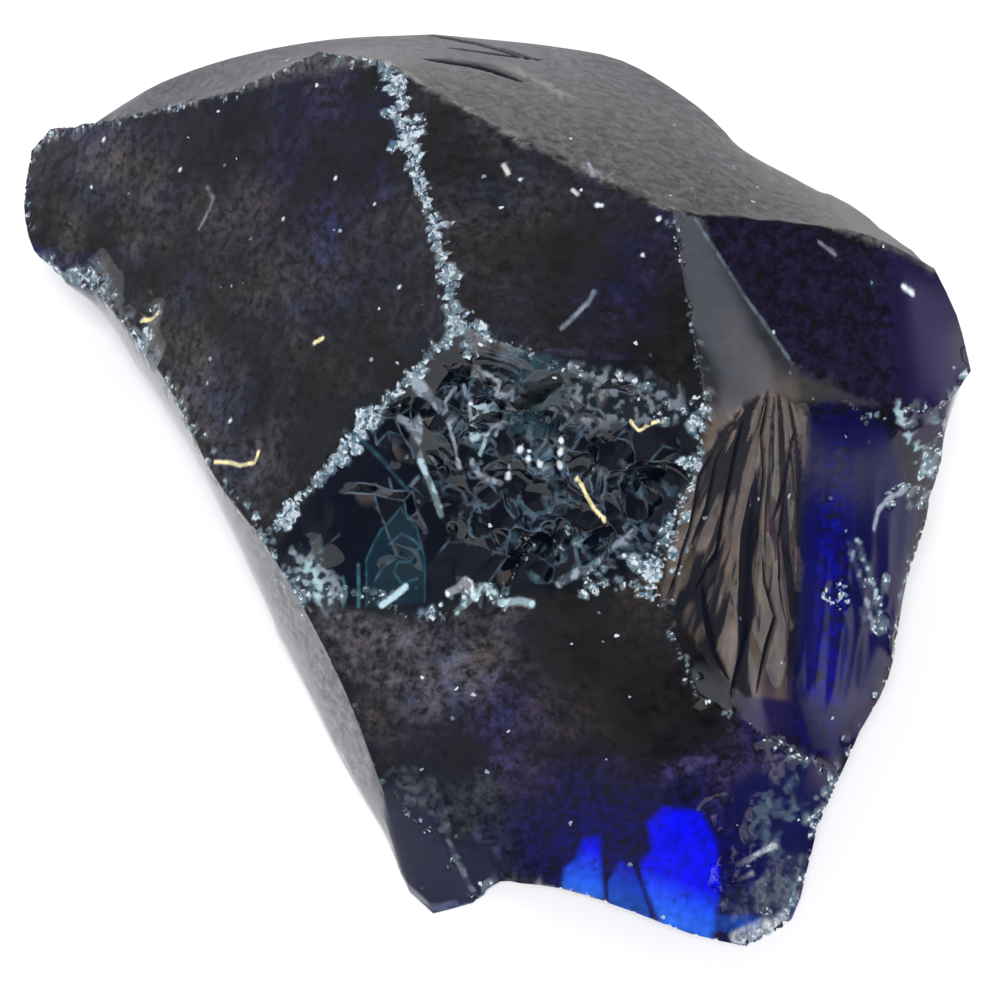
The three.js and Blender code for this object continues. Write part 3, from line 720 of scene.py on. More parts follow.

# Marks: the line each one follows as seen from above, in millimetres from the box's low corner, half
# width and soft border in millimetres, colour, cover, and how broken up it is from 0 to 1.
# Outline of a painted leaf-shaped reflection inside the shattered face, seen from above.
LEAF_SHAPE = ((50.5, 39.5), (50.5, 44), (52.5, 47), (55, 48.5), (57, 46), (58, 43), (58, 39))
MARKS = (
    # curls and chips of the shattered face; the leaf and the looped curl after it are a painted reflection
    # inside the glass
    (LEAF_SHAPE, 0.05, 0.14, TEAL, 0.42, 0.5),
    (((53.5, 45.5), (55, 46), (56.5, 45), (57.5, 44), (56.5, 43.5), (54.5, 44), (54, 43), (55, 41.5),
      (57, 41.5)), 0.06, 0.14, TEAL, 0.5, 0.5),
    (((47.5, 42.5), (48, 41), (47.5, 39.5)), 0.12, 0.14, TEAL, 0.5, 0.4),
    (((49.5, 43.5), (49.5, 41.5), (49.5, 39.5)), 0.16, 0.14, TEAL, 0.6, 0.3),
    (((52.5, 39.5), (55.5, 41)), 0.32, 0.15, FOAM, 0.9, 0.1),
    (((48, 54.5), (56, 49)), 0.12, 0.15, TEAL, 0.35, 0.5),
    (((55, 55), (57.5, 53)), 0.28, 0.2, SLATE, 0.7, 0.6),
    (((57.5, 52), (58.5, 50.5), (59.5, 48), (60, 47)), 0.28, 0.2, FOAM, 0.75, 0.7),
    (((62, 57), (60.5, 54.5), (62.5, 50.5)), 0.16, 0.12, SLATE, 0.8, 0.3),
    (((65.5, 56.5), (67.5, 55.5), (67, 54.5), (66, 53.5), (64, 53), (63, 57)), 0.16, 0.12, SLATE, 0.8, 0.35),
    (((64, 53), (66, 53.5), (65, 51.5)), 0.16, 0.12, FOAM, 0.7, 0.3),
    (((67, 53), (67.5, 54.5), (69, 55), (69, 54)), 0.16, 0.12, SLATE, 0.8, 0.35),
    (((57, 56.5), (59, 56), (60, 55)), 0.3, 0.2, SLATE, 0.8, 0.6),
    (((72, 53.5), (79.5, 53), (88, 52.5)), 1.5, 0.9, SLATE, 0.42, 0.95),
    (((70, 54.5), (74, 54)), 1.2, 0.9, TEAL, 0.22, 0.7),
    (((64, 51), (65, 49.5), (67.5, 49.5)), 0.25, 0.15, SLATE, 0.7, 0.6),
    (((61, 39.5), (63, 40), (64.5, 38.5)), 0.28, 0.2, FROST, 0.9, 0.75),
    (((62, 37.5), (65, 39), (67, 38.5)), 0.22, 0.2, FOAM, 0.8, 0.75),
    (((67.5, 37.5), (70, 37.5), (71.5, 37)), 0.28, 0.2, FOAM, 0.9, 0.5),
    (((75, 38.5), (80, 40), (84, 42)), 0.4, 0.2, SLATE, 0.8, 0.8),
    (((41.5, 44), (46, 41)), 1.3, 0.8, SLATE, 0.6, 0.95),
    (((43, 43), (46, 39.5)), 0.7, 0.5, FOAM, 0.7, 0.95),
    # warm glints
    (((77, 48), (78, 46.5), (79, 45.5), (80.5, 44)), 0.12, 0.1, STRAW, 0.95, 0.3),
    (((83.5, 51), (84.5, 50), (87.5, 51)), 0.13, 0.1, STRAW, 0.9, 0.4),
    (((30.5, 59), (32.5, 58), (34, 57), (36, 56.5), (36.5, 57.5)), 0.16, 0.1, STRAW, 0.95, 0.4),
    (((19, 83.5), (20.5, 83), (21.5, 83)), 0.16, 0.1, STRAW, 0.8, 0.3),
    (((44, 66.5), (45, 66.5)), 0.2, 0.1, STRAW, 0.8, 0.0),
    # loose crumbs and scratches on the smooth faces
    (((27.5, 89.5), (28.5, 90.5), (29.5, 92), (28.5, 94)), 0.12, 0.2, DUST, 0.4, 0.5),
    (((75, 59), (76.5, 60.5), (78.5, 62.5), (79, 63.5)), 0.14, 0.2, SLATE, 0.6, 0.4),
    (((107.5, 74), (109.5, 73)), 0.14, 0.2, DUST, 0.4, 0.2),
    (((118.5, 71), (119.5, 70.5)), 0.3, 0.15, FROST, 0.8, 0.2),
    (((76.5, 76), (77, 75.5)), 0.16, 0.2, PALE, 0.8, 0.2),
    (((78.5, 80), (79, 78)), 0.16, 0.2, SLATE, 0.8, 0.2),
    (((68, 79.5), (68.5, 78.5)), 0.2, 0.2, PALE, 0.8, 0.2),
    (((68, 104), (71.5, 101), (76, 96.5)), 0.25, 0.8, PALE, 0.25, 0.4),
    (((91.5, 73), (97.5, 66.5), (104, 61)), 0.1, 0.2, SLATE, 0.32, 0.6),
    # painted deep blue of the flank, standing in for light seen through the glass
    (((110.5, 54), (111.5, 48), (110.5, 37), (108, 26)), 1.5, 4.5, NAVY, 0.14, 0.0),
    (((109.5, 50), (109.5, 39), (108.5, 31)), 0.3, 3.5, COBALT, 0.10, 0.0),
    (((117, 58.5), (118.5, 56.5), (120, 55.5), (122.5, 55.5)), 0.5, 0.4, FOAM, 0.6, 1.0),
    (((115.5, 49.5), (116, 51), (117.5, 52), (119.5, 53)), 0.14, 0.15, SLATE, 0.8, 0.2),
    (((112.5, 48), (113.5, 46), (114.5, 43.5), (115.5, 40.5)), 0.22, 0.2, SLATE, 0.8, 0.9),
    (((113.5, 48.5), (114.5, 46.5), (116, 44), (116.5, 41.5)), 0.18, 0.2, FOAM, 0.8, 0.9),
    # dark nib
    (((55.5, 17), (57.5, 12), (59, 9), (63, 10.5)), 2.6, 2.0, SMOKE, 0.85, 0.0),
    (((59.5, 17.5), (61.5, 13), (64, 9.5)), 0.15, 0.2, SLATE, 0.3, 0.8),
    # toe
    (((95, 9), (98.5, 10.5), (102, 12.5)), 0.22, 0.15, FROST, 0.95, 0.5),
    (((96, 7.5), (99, 9)), 0.22, 0.15, FROST, 0.95, 0.5),
    (((96, 4), (101, 6), (105, 10)), 1.2, 1.2, SLATE, 0.3, 0.85),
    # painted blue glow along the front edge of the toe
    (((94, 2.5), (99, 3)), 0.8, 0.5, AZURE, 0.7, 0.5),
    (((97, 1), (103, 4)), 0.7, 0.5, FROST, 0.7, 0.7),
    (((88, 18.5), (92.5, 20), (97, 19.5), (103, 20.5)), 0.5, 0.6, VIOLET, 0.10, 0.6),
    # dusty patches of the ramp
    (((46, 38), (53, 36), (58, 35)), 0.8, 1.5, DUST, 0.10, 0.6),
    (((48.5, 34), (53, 32.5), (58, 28)), 1.2, 2.0, DUST, 0.09, 0.8),
    (((55.5, 19), (61, 18), (66, 18.5)), 1.2, 1.5, SLATE, 0.05, 0.6),
    # painted outlines of the panes' blue glow, light and dark, and a faint dark blue over them
    (((80.5, 9.5), (82.5, 10.5), (84.5, 9.5)), 0.10, 0.2, AZURE, 0.5, 0.3),
    (((88, 3), (86.5, 6.5), (85, 9)), 0.15, 0.2, INDIGO, 0.8, 0.1),
    (((78, 12), (86, 9), (94, 9)), 3.0, 8.0, NAVY, 0.12, 0.0),
)

# Loose crumbs on the smooth faces: millimetres from the box's low corner, and half width.
DOTS = (
    (68.5, 50, 0.24), (70, 51, 0.3), (71, 50, 0.22), (72.5, 49.5, 0.26), (73.5, 51, 0.26),
    (75, 50.5, 0.28), (12.5, 110, 0.2), (24.5, 98.5, 0.16), (29.5, 95, 0.2), (46.5, 85, 0.14),
    (39.5, 83.5, 0.12), (55, 67.5, 0.14), (32.5, 63, 0.16), (70, 77.5, 0.14), (80, 74, 0.16),
    (85, 68, 0.14), (86.5, 63, 0.14), (122, 70.5, 0.16), (105, 69.5, 0.12), (79.5, 74, 0.24),
    (87, 72, 0.22),
)
DOT_SOFT = 0.18

# Patches with a border of their own, seen from above: corners in millimetres from the box's low
# corner, soft border in millimetres, colour, cover and how matt they are from 0 to 1.
PATCHES = (
    # satin roof
    (((53, 96.5), (60, 90), (67.5, 84), (78, 78), (88.5, 73), (100, 76), (110, 76), (122.5, 74), (135, 74),
      (135, 130), (-5, 130), (-5, 118), (3.5, 118), (13, 112), (32, 103.5)), 1.0, SATIN, 0.10, 0.5),
    # ribbon with a painted gray sheen, brim and the purple face beside them
    (((91.5, 73), (97.5, 66.5), (104, 61), (109, 60), (115.5, 58), (123.5, 59), (127.5, 64.5),
      (124, 74), (110, 76), (100, 76)), 0.8, PLUM, 0.060, 0.0),
    (((89, 72), (91.5, 73), (97.5, 66.5), (104, 61), (101, 57.5), (96.5, 54), (93.5, 51),
      (92.5, 53), (91, 63.5)), 0.35, RIBBON, 0.24, 0.0),
    (((104, 61), (109, 60), (115.5, 58), (109, 58.5), (101, 57.5)), 0.4, BRIM, 0.4, 0.0),
    # the whole shattered face, the dark pool at its west and the painted leaf-shaped reflection in it
    (((61, 58.5), (70, 56), (84, 55), (91, 52), (91, 46), (86, 37.5), (76, 38), (66, 37.5), (55, 38.5),
      (43.5, 40), (39, 46), (50, 54)), 1.6, POOL, 0.45, 0.0),
    (((42, 48), (48, 53), (54.5, 54), (57, 50), (60, 43), (60, 39), (43.5, 40), (41.5, 44.5)),
     1.6, POOL, 0.60, 0.0),
    (LEAF_SHAPE, 0.2, LEAF_REFLECTION, 0.45, 0.0),
    # flank: a dark blue sheet, painted deep blue standing in for light seen through the glass, and purple
    # beside it
    (((106.5, 57), (116, 56.5), (121, 51), (118.5, 40), (114, 27), (107, 22.5), (105, 28), (106, 40)),
     1.0, DUSK, 0.80, 0.28),
    (((117.5, 74), (123, 73), (127.5, 65), (124, 57.5), (119, 57.5), (118, 64)), 6.0, PURPLE, 0.45, 0.35),
    # toe beside the panes, and the violet foot of the feathered face
    (((96.5, 18), (102.5, 21.5), (110.5, 21), (107.5, 15), (104, 4.5), (98, -1), (95.5, 0), (95.5, 8)),
     1.6, DEEP, 0.50, 0.25),
    (((99, 29), (104, 30), (105, 25), (102.5, 22.5), (98, 23)), 3.0, PURPLE, 0.45, 0.0),
    # blunt nib
    (((53, 19.5), (56.5, 18.5), (60.5, 14), (64.5, 9), (63, 4), (57, 5), (52, 13)), 1.0, SMOKE, 0.60, 0.7),
)

# The feathered face: its outline, the point its feathers fan out from, how many there are per
# radian, and how many waves per metre they have along their length. The feathers carry a painted warm
# sheen and the gaps between them painted shade.
FEATHERS = ((93, 51.5), (96.5, 54), (101, 57.5), (106.5, 57.5), (106.5, 50), (105.5, 38.5), (104, 28),
            (98, 26), (92.5, 30), (87.5, 35), (88.5, 41), (92.5, 47))
FEATHER_ROOT = (101.8, 61.0)
FEATHER_COUNT = 9.0
FEATHER_WAVES = 55.0

# Panes of painted bright blue glow, standing in for light seen where the glass is thin under the front
# edge: corners seen from above in millimetres from the box's low corner, soft border in millimetres, and the
# cover.
GLOWING_PANES = (
    (((75, 6), (75.5, 10), (77, 11), (78, 13), (80, 13), (80, 11.5), (80.5, 6)), 0.8, 0.66),
    (((81, 4), (81, 8), (82.5, 10), (84, 9.5), (85, 7), (86.5, 2)), 0.4, 0.36),
    (((87.5, 2), (85.5, 7), (85, 9.5), (86.5, 11), (86, 14), (88, 15.5), (92.5, 15), (94.5, 12),
      (95, 7), (93.5, 0)), 0.9, 0.72),
)
PANE_START = 0.8 * MM
PANE_FADE = 5 * MM
VEIN_START = 3 * MM

# Cover of each thing that is laid over the film, from 0 for clear to 1.
COVER = {
    "grazing sheen": 0.18,
    "roof rim": 0.22,
    "gap": 0.75,
    "feather": 0.40,
    "shattered edge": 0.32,
    "toe edge": 0.28,
    "slit": 0.90,
    "crushed": 0.40,
    "dot": 0.8,
}
GAP_MATT = 0.8
RIM_WIDTH = 0.9 * MM
KEEN_ANGLES = (14, 34)

# How fine the random patterns are, per metre, how much red, green and blue the warm blotches of the
# film add, and how softly the film changes from place to place.
BLOTCHES = 95.0
WARM_BLOTCHES = 150.0
PATCHY = 330.0
RAGGED = 800.0
WARMTH = (0.30, 0.16, -0.16)
FILM_BLEND = 3 * MM


def rough_noise(co, per_metre, octaves):
    """Smooth random values of about -1 to 1 at places, as an array."""
    scaled = co * per_metre
    return np.array([noise.fractal(Vector(place), 0.7, 2.0, octaves) for place in scaled])


def keen_ridges(mesh, low, high):
    """How keen the edges at every vertex are, from 0 at the low angle to 1 at the high, in degrees."""
    keen = np.zeros(len(mesh.vertices))
    pairs = edges_of(mesh)
    level = np.clip((sharpness(mesh) - math.radians(low)) / math.radians(high - low), 0.0, 1.0)
    sharp = level > 0
    for side in (0, 1):
        np.maximum.at(keen, pairs[sharp, side], level[sharp])
    return keen


def mix_in(body, colour, cover, share):
    """Mixes a colour into the body colours and their cover, by a share per vertex."""
    kept = body[:, 3] * (1.0 - share)
    laid = cover * share
    total = np.maximum(kept + laid, 1e-6)
    body[:, :3] = (body[:, :3] * kept[:, None] + np.asarray(colour) * laid[:, None]) / total[:, None]
    body[:, 3] = total


def dust_film(co):
    """Body colour and cover of the dusty film at every vertex."""
    weights = np.zeros(len(co))
    body = np.zeros((len(co), 4))
    for where, colour, cover in FILMS:
        weight = 1.0 / (((co - place_of(where)) ** 2).sum(axis=1) + FILM_BLEND**2) ** 2
        weights += weight
        body += weight[:, None] * np.array([*colour, cover])
    body /= weights[:, None]
    body[:, 3] *= np.clip(0.95 + 1.3 * rough_noise(co, BLOTCHES, 4), 0.15, 2.6)
    warm = np.clip(1.6 * rough_noise(co + 1.0, WARM_BLOTCHES, 3), -1.0, 1.0)[:, None]
    body[:, :3] *= 1.0 + warm * np.array(WARMTH)
    return body


def share_inside(corners, soft, co):
    """Share from 0 outside an outline of corners to 1 inside, with a soft border, seen from above."""
    inside = is_inside(co, [place_of(corner) for corner in corners])
    border = from_outline(corners, co)
    return np.clip(0.5 + np.where(inside, border, -border) / (soft * MM), 0.0, 1.0)


def fan_of_feathers(co):
    """Share of every vertex that lies on the hackled face, on one of its feathers, and how bright the painted
    sheen on it is.
    """
    root = place_of(FEATHER_ROOT)
    across, down = co[:, 0] - root[0], root[1] - co[:, 1]
    turn, length = np.arctan2(across, down), np.hypot(across, down)
    fan = np.stack([turn * FEATHER_COUNT, length * FEATHER_WAVES, np.zeros(len(co))], axis=1)
    feather = np.clip((rough_noise(fan, 1.0, 4) + 0.12) * 5.0, 0.0, 1.0)
    streak = np.clip(0.75 + 0.8 * rough_noise(fan, 2.7, 2), 0.2, 1.3)
    return share_inside(FEATHERS, 0.6, co), feather, streak


def steep_west(co, outward):
    """Share of every vertex that lies on the steep west side, south of its low corner and off the nib."""
    share = np.clip((0.45 - outward[:, 2]) / 0.2, 0.0, 1.0) * (outward[:, 0] < -0.3)
    share *= np.clip((place_of("west_low")[1] - co[:, 1]) / (8 * MM), 0.0, 1.0)
    nib_side = [POINTS[stop] for stop in RIDGES["nib_side"][0]]
    return share * np.clip(distance_along(nib_side, co)[0] / (2 * MM) - 1.0, 0.0, 1.0)


def lay_marks(body, co, upward, ragged):
    """Lays the marks and the loose crumbs over the body colours."""
    for points, half, soft, colour, cover, broken in MARKS:
        distance, _ = distance_along(points, co)
        share = np.clip((half + soft - distance / MM) / soft, 0.0, 1.0)
        holes = np.clip((ragged + 0.30 - 0.40 * broken) * 4.0, 0.0, 1.0)
        mix_in(body, colour, cover, share * upward * (1.0 - broken + broken * holes))
    for x, y, half in DOTS:
        share = np.clip((half + DOT_SOFT - from_dot(x, y, co) / MM) / DOT_SOFT, 0.0, 1.0)
        mix_in(body, FROST, COVER["dot"], share * upward)


def lay_pane_glow(body, co, upward, patchy, ragged):
    """Paints a bright blue glow over the thin panes, azure at the front edge and cobalt further in, with
    darker veins away from the edge.
    """
    edge = np.array([place_of(stop) for stop in RIDGES["front_edge"][0]])
    from_edge = distance_to([edge], co)
    depth = np.clip((from_edge - PANE_START) / PANE_FADE, 0.0, 1.0)[:, None]
    azure_to_cobalt = np.asarray(AZURE) * (1 - depth) + np.asarray(COBALT) * depth
    for corners, soft, cover in GLOWING_PANES:
        share = share_inside(corners, soft, co) * upward
        body[:, :3] += (azure_to_cobalt - body[:, :3]) * np.minimum(1.0, 1.6 * share)[:, None]
        body[:, 3] += (cover * np.clip(0.95 + 0.35 * ragged, 0.6, 1.2) - body[:, 3]) * share
        vein = np.clip(1.0 - np.abs(patchy) * 14.0, 0.0, 1.0) * share * (from_edge > VEIN_START)
        body[:, :3] *= 1.0 - 0.6 * vein[:, None]


def body_colours(mesh, co, outward, crush, slit, shattered, rim):
    """Colour and cover at every vertex, from the film to the painted glow of the blue panes, with painted
    sheen, highlight and shade among them, and how matt it is there.
    """
    body = dust_film(co)
    matt = np.zeros(len(co))
    upward = looks_up(outward)
    patchy = rough_noise(co, PATCHY, 3)
    ragged = rough_noise(co, RAGGED, 2)
    # painted sheen: the steep west wall is lightened as if it mirrored the bright floor at a grazing angle
    mix_in(body, GRAZING_SHEEN, COVER["grazing sheen"], steep_west(co, outward))
    for corners, soft, colour, cover, dull in PATCHES:
        share = share_inside(corners, soft, co) * upward
        mix_in(body, colour, cover, share)
        matt += (dull - matt) * share

    # painted highlight: a pale line along the rolled rim of the roof
    rim_highlight = np.clip(1.0 - distance_to([rim], co) / RIM_WIDTH, 0.0, 1.0) * np.clip(0.7 + patchy, 0.0, 1.0)
    mix_in(body, PALE, COVER["roof rim"], rim_highlight * (matt > 0.1))
    # painted warm sheen on the feathers of the hackled face, and painted shade in the gaps between them
    on_face, feather, streak = fan_of_feathers(co)
    on_face *= upward
    gap = on_face * (1.0 - feather)
    mix_in(body, PAINTED_SHADE, COVER["gap"], gap)
    matt = np.maximum(matt, GAP_MATT * gap)
    mix_in(body, FEATHER_SHEEN, COVER["feather"], on_face * feather * streak)

    keen = keen_ridges(mesh, *KEEN_ANGLES) * np.clip(0.35 + 1.3 * patchy, 0.0, 1.0)
    mix_in(body, STEEL, COVER["shattered edge"], keen * shattered * (1.0 - 0.8 * (matt > 0.5)))
    mix_in(body, STEEL, COVER["toe edge"], keen * upward * is_inside(co, face_outline("lobe")))
    # painted shade inside the slits
    mix_in(body, PAINTED_SHADE, COVER["slit"], slit)
    matt = np.maximum(matt, slit)
    mix_in(body, FOAM, COVER["crushed"], np.clip(crush * 0.9 + 0.6 * patchy, 0.0, 1.0) * (crush > 0.02))
    lay_marks(body, co, upward, ragged)
    # painted bright blue glow over the thin panes under the front edge
    lay_pane_glow(body, co, upward, patchy, ragged)
    return body, matt


def build_chunk(settings):
    """The chunk's fine surface: a refined copy of the solid, slit, chipped, crumbled and marked."""
    obj = copy_of_solid()
    traced = trace_ridges(obj.data)
    random = np.random.default_rng(settings.seed)
    refine_in_steps(obj, traced, settings)

    mesh = obj.data
    co, outward = places(mesh), normals(mesh)
    shattered = looks_up(outward) & is_inside(co, face_outline("shattered"))
    crush = np.zeros(len(co))
    slit = cut_slits(co, outward)
    knock_chips(co, outward, crush, random)
    crumble_ridges(co, outward, crush, traced, random)
    co[:, 2] = np.maximum(co[:, 2], CAD_BOX[0][2])
    set_places(mesh, co)
    body, matt = body_colours(mesh, co, outward, crush, slit, shattered, traced["roof_rim"])
    mesh.attributes.new("body", "FLOAT_COLOR", "POINT").data.foreach_set("color", body.ravel())
    for name, values in (("crush", crush), ("matt", matt)):
        mesh.attributes.new(name, "FLOAT", "POINT").data.foreach_set("value", values)
    return obj


# ---- materials ----------------------------------------------------------------------------------
class Weave:
    """Adds nodes to a node tree and links them in one go."""

    def __init__(self, tree):
        self.nodes = tree.nodes
        self.links = tree.links

    def node(self, kind, **settings):
        """A new node with its settings."""
        node = self.nodes.new(kind)
        for name, value in settings.items():
            setattr(node, name, value)
        return node

    def feed(self, socket, value):
        """Links a socket to another one, or sets it to a plain value."""
        if isinstance(value, bpy.types.NodeSocket):
            self.links.new(value, socket)
        else:
            socket.default_value = value

    def math(self, operation, *values, clamp=False):
        """The result of a sum on values or sockets."""
        node = self.node("ShaderNodeMath", operation=operation, use_clamp=clamp)
        for socket, value in zip(node.inputs, values):
            self.feed(socket, value)
        return node.outputs["Value"]

    def span(self, value, low, high, to_low=0.0, to_high=1.0, **settings):
        """Maps the span low..high onto another one, and no further."""
        node = self.node("ShaderNodeMapRange", **settings)
        for name, number in (("Value", value), ("From Min", low), ("From Max", high),
                             ("To Min", to_low), ("To Max", to_high)):
            self.feed(node.inputs[name], number)
        return node.outputs["Result"]

    def blend(self, share, first, second, **settings):
        """A mix of two colours."""
        node = self.node("ShaderNodeMix", data_type="RGBA", **settings)
        for name, value in (("Factor", share), ("A", first), ("B", second)):
            self.feed(node.inputs[name], value)
        return node.outputs["Result"]


# The film lies in specks where the grain is high. A thin film varies from 0.05 to 3 times its cover
# between and on the specks, and a thick one from 0.9 to 1.2 times. The covers say which is which.
GRAIN_LOW, GRAIN_HIGH = 0.38, 0.66
THIN_LOW, THIN_HIGH = 0.05, 3.0
THICK_MORE, THICK_LESS = 0.85, -1.8
THIN_COVER, THICK_COVER = 0.10, 0.26

# Only cells with a random value above these hold a lone crumb on the clear faces.
LONE_CRUMBS = (0.9986, 0.9990)
CRUMB_COVER = 0.9
CRUMB_ROUGHNESS = 0.35
MATT_ROUGHNESS = 0.9


def glass_material(settings):
    """Clear glass that absorbs red and green, with a dusty film, marks with painted sheen, shade and glow
    among them, and pale crushed edges.
    """
    material = bpy.data.materials.new(SLOT)
    material.use_nodes = True
    material.node_tree.nodes.clear()
    weave = Weave(material.node_tree)
    where = weave.node("ShaderNodeTexCoord").outputs["Object"]
    body = weave.node("ShaderNodeAttribute", attribute_name="body")
    crush = weave.node("ShaderNodeAttribute", attribute_name="crush").outputs["Fac"]
    matt = weave.node("ShaderNodeAttribute", attribute_name="matt").outputs["Fac"]

    # fine grain that breaks up the film and the marks
    speckle = weave.node("ShaderNodeTexNoise")
    weave.feed(speckle.inputs["Vector"], where)
    speckle.inputs["Scale"].default_value = settings.grain
    speckle.inputs["Detail"].default_value = 5.0
    speckle.inputs["Roughness"].default_value = 0.75
    grain = speckle.outputs["Fac"]
    thick = weave.span(body.outputs["Alpha"], THIN_COVER, THICK_COVER)
    between = weave.math("MULTIPLY_ADD", thick, THICK_MORE, THIN_LOW)
    on_speck = weave.math("MULTIPLY_ADD", thick, THICK_LESS, THIN_HIGH)
    spots = weave.span(grain, GRAIN_LOW, GRAIN_HIGH, between, on_speck)
    cover = weave.math("MULTIPLY", body.outputs["Alpha"], spots)

    # crumbs of crushed glass
    crumbs = weave.node("ShaderNodeTexVoronoi")
    weave.feed(crumbs.inputs["Vector"], where)
    crumbs.inputs["Scale"].default_value = settings.crumbs
    split = weave.node("ShaderNodeSeparateColor")
    weave.feed(split.inputs["Color"], crumbs.outputs["Color"])
    chance, paleness = split.outputs["Red"], split.outputs["Green"]
    broken = weave.math("ADD", crush, weave.math("MULTIPLY_ADD", grain, 0.9, -0.5))
    crumb = weave.math("MULTIPLY", weave.span(weave.math("SUBTRACT", broken, chance), -0.05, 0.10),
                       weave.span(crush, 0.02, 0.15))
    crumb = weave.math("MAXIMUM", crumb, weave.span(chance, *LONE_CRUMBS))

    crushed = weave.blend(weave.span(paleness, 0.15, 0.8), (*settings.bruised, 1), (*settings.crushed, 1))
    cover = weave.math("MAXIMUM", cover, weave.math("MULTIPLY", crumb, CRUMB_COVER))
    inner = weave.node("ShaderNodeNewGeometry").outputs["Backfacing"]
    cover = weave.math("MULTIPLY", cover, weave.math("SUBTRACT", 1.0, inner))
    shader = weave.node("ShaderNodeBsdfPrincipled")
    shader.inputs["IOR"].default_value = settings.ior
    tint = weave.blend(crumb, body.outputs["Color"], crushed)
    weave.feed(shader.inputs["Base Color"], weave.blend(weave.span(cover, 0.0, 0.02), (1, 1, 1, 1), tint))
    weave.feed(shader.inputs["Transmission Weight"], weave.math("SUBTRACT", 1.0, cover, clamp=True))
    crumb_rough = weave.math("MULTIPLY", crumb, CRUMB_ROUGHNESS)
    matt_rough = weave.math("MULTIPLY", matt, MATT_ROUGHNESS)
    weave.feed(shader.inputs["Roughness"], weave.math("MAXIMUM", crumb_rough, matt_rough))
    absorb = weave.node("ShaderNodeVolumeAbsorption")
    absorb.inputs["Color"].default_value = (*settings.clear, 1.0)
    absorb.inputs["Density"].default_value = settings.density
    output = weave.node("ShaderNodeOutputMaterial")
    weave.feed(output.inputs["Surface"], shader.outputs["BSDF"])
    weave.feed(output.inputs["Volume"], absorb.outputs["Volume"])
    return material


def floor_material(settings):
    """Plain pale matt floor."""
    material = bpy.data.materials.new("studio_floor")
    material.use_nodes = True
    shader = material.node_tree.nodes["Principled BSDF"]
    shader.inputs["Base Color"].default_value = (*settings.floor_colour, 1)
    shader.inputs["Roughness"].default_value = 0.9
    return material


# ---- studio -------------------------------------------------------------------------------------
# Soft round lights in the surroundings: azimuth from +Y towards +X, elevation, half width and
# softness in degrees, strength, colour.
SOFT_LIGHTS = {
    "window": (95, 29, 13, 5, 1.15, (0.95, 1.0, 1.16)),
    "lamp": (110, 8, 19, 7, 1.00, (1.25, 0.98, 0.84)),
    "west wall": (283, 9, 38, 22, 0.24, (1.0, 1.0, 1.08)),
    "west ceiling": (294, 70, 25, 15, 0.15, (1.0, 1.0, 1.05)),
    "ceiling": (90, 80, 22, 12, 0.09, (1.0, 1.0, 1.08)),
    "room": (212, 48, 15, 9, 0.19, (1.0, 0.97, 1.05)),
    "low front": (210, 14, 10, 7, 0.05, (1.0, 1.0, 1.05)),
    "back wall": (346, 4, 36, 12, 1.50, (1.0, 0.98, 1.0)),
}
SKY = (0.125, 0.125, 0.15)
SUN = {"azimuth": 184, "elevation": 57, "angle": 24, "strength": 3.3}
FLOOR_GAP = 0.0003
SMOOTH_ANGLE = math.radians(24)


def direction(azimuth, elevation):
    """Unit vector towards an azimuth from +Y to +X and an elevation, both in degrees."""
    a, e = math.radians(azimuth), math.radians(elevation)
    return (math.sin(a) * math.cos(e), math.cos(a) * math.cos(e), math.sin(e))


def studio_world():
    """Even pale surroundings with a few soft round lights."""
    world = bpy.data.worlds.new("studio")
    bpy.context.scene.world = world
    world.use_nodes = True
    world.cycles.sampling_method = "NONE"
    world.node_tree.nodes.clear()
    weave = Weave(world.node_tree)
    where = weave.node("ShaderNodeTexCoord").outputs["Generated"]
    total = (*SKY, 1)
    for azimuth, elevation, half, soft, strength, colour in SOFT_LIGHTS.values():
        facing = weave.node("ShaderNodeVectorMath", operation="DOT_PRODUCT")
        weave.feed(facing.inputs[0], where)
        weave.feed(facing.inputs[1], direction(azimuth, elevation))
        outer = math.cos(math.radians(half + soft))
        inner = math.cos(math.radians(max(0, half - soft)))
        facing = facing.outputs["Value"]
        light = weave.span(facing, outer, inner, 0.0, strength, interpolation_type="SMOOTHSTEP")
        total = weave.blend(light, total, (*colour, 1), blend_type="ADD", clamp_factor=False)
    background = weave.node("ShaderNodeBackground")
    weave.feed(background.inputs["Color"], total)
    output = weave.node("ShaderNodeOutputWorld")
    weave.feed(output.inputs["Surface"], background.outputs["Background"])


def studio_sun():
    """One soft lamp high over the front, so that the shadow falls behind the chunk. It lights matt
    surfaces only, because its round shape would show in the glass."""
    data = bpy.data.lights.new("studio_sun", "SUN")
    data.energy = SUN["strength"]
    data.angle = math.radians(SUN["angle"])
    lamp = bpy.data.objects.new("studio_sun", data)
    bpy.context.scene.collection.objects.link(lamp)
    towards = Vector(direction(SUN["azimuth"], SUN["elevation"]))
    lamp.rotation_euler = towards.to_track_quat("Z", "Y").to_euler()
    lamp.visible_glossy = False
    lamp.visible_transmission = False


def studio_camera(settings):
    """Camera that looks down on the chunk from the front."""
    data = bpy.data.cameras.new("camera")
    data.lens = settings.lens
    data.sensor_width = 36.0
    data.clip_start = 0.01
    camera = bpy.data.objects.new("camera", data)
    bpy.context.scene.collection.objects.link(camera)
    aim = Vector(CAD_BOX[0]) + Vector(settings.aim)
    back = Vector((0.0, -math.cos(settings.elevation), math.sin(settings.elevation)))
    camera.location = aim + back * settings.distance
    camera.rotation_euler = (math.pi / 2 - settings.elevation, 0.0, 0.0)
    bpy.context.scene.camera = camera


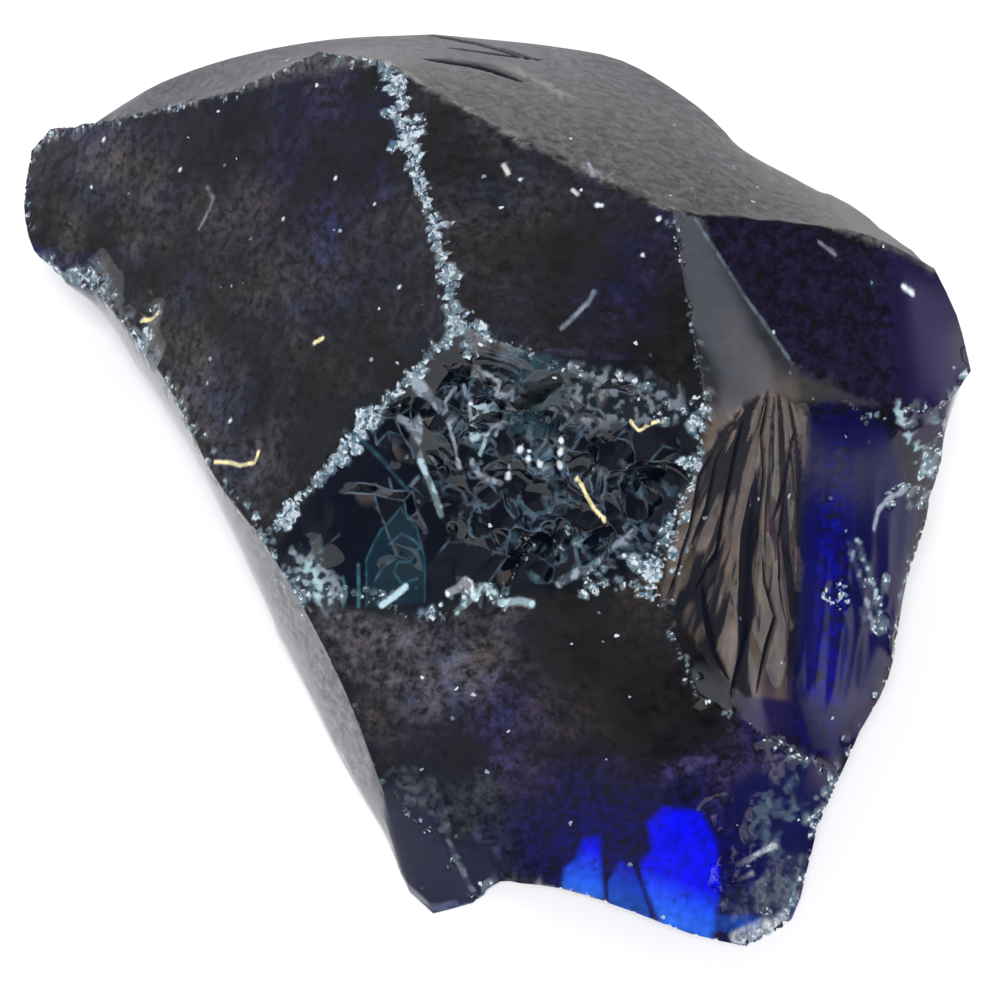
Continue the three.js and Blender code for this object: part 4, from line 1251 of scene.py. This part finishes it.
def studio_floor(settings):
    """A large plain floor just under the chunk."""
    bpy.ops.mesh.primitive_plane_add(size=settings.floor_size, location=(0, 0, 0))
    floor = bpy.context.active_object
    floor.name = "floor"
    floor.data.transform(floor.matrix_world)
    floor.data.transform(Matrix.Translation((0, 0, -FLOOR_GAP)))
    floor.data.materials.append(floor_material(settings))


# ---- operators ----------------------------------------------------------------------------------
class CULLET_OT_chunk(bpy.types.Operator):
    """Build the broken glass chunk over its CAD solid."""

    bl_idname = "cullet.chunk"
    bl_label = "Glass chunk"

    def execute(self, context):
        settings = context.scene.cullet_chunk
        obj = build_chunk(settings)
        obj.data.materials.clear()
        obj.data.materials.append(glass_material(settings))
        only_select(obj)
        bpy.ops.object.shade_smooth_by_angle(angle=SMOOTH_ANGLE)
        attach(obj, "root")
        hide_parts(NODE)
        return {"FINISHED"}


class CULLET_OT_stage(bpy.types.Operator):
    """Build the floor, the light and the camera."""

    bl_idname = "cullet.stage"
    bl_label = "Studio"

    def execute(self, context):
        settings = context.scene.cullet_stage
        studio_floor(settings)
        studio_world()
        studio_sun()
        studio_camera(settings)
        context.scene.view_settings.view_transform = "Standard"
        return {"FINISHED"}


class CULLET_PT_panel(bpy.types.Panel):
    """Sidebar panel with both builders."""

    bl_idname = "CULLET_PT_panel"
    bl_label = "Glass Cullet"
    bl_space_type = "VIEW_3D"
    bl_region_type = "UI"
    bl_category = "Cullet"

    def draw(self, context):
        self.layout.operator(CULLET_OT_chunk.bl_idname)
        self.layout.operator(CULLET_OT_stage.bl_idname)


CLASSES = (ChunkSettings, StageSettings, CULLET_OT_chunk, CULLET_OT_stage, CULLET_PT_panel)


def register():
    for cls in CLASSES:
        bpy.utils.register_class(cls)
    bpy.types.Scene.cullet_chunk = PointerProperty(type=ChunkSettings)
    bpy.types.Scene.cullet_stage = PointerProperty(type=StageSettings)


def unregister():
    del bpy.types.Scene.cullet_stage
    del bpy.types.Scene.cullet_chunk
    for cls in reversed(CLASSES):
        bpy.utils.unregister_class(cls)


def main():
    register()
    bpy.ops.cullet.stage()
    bpy.ops.cullet.chunk()


if __name__ == "__main__":
    main()
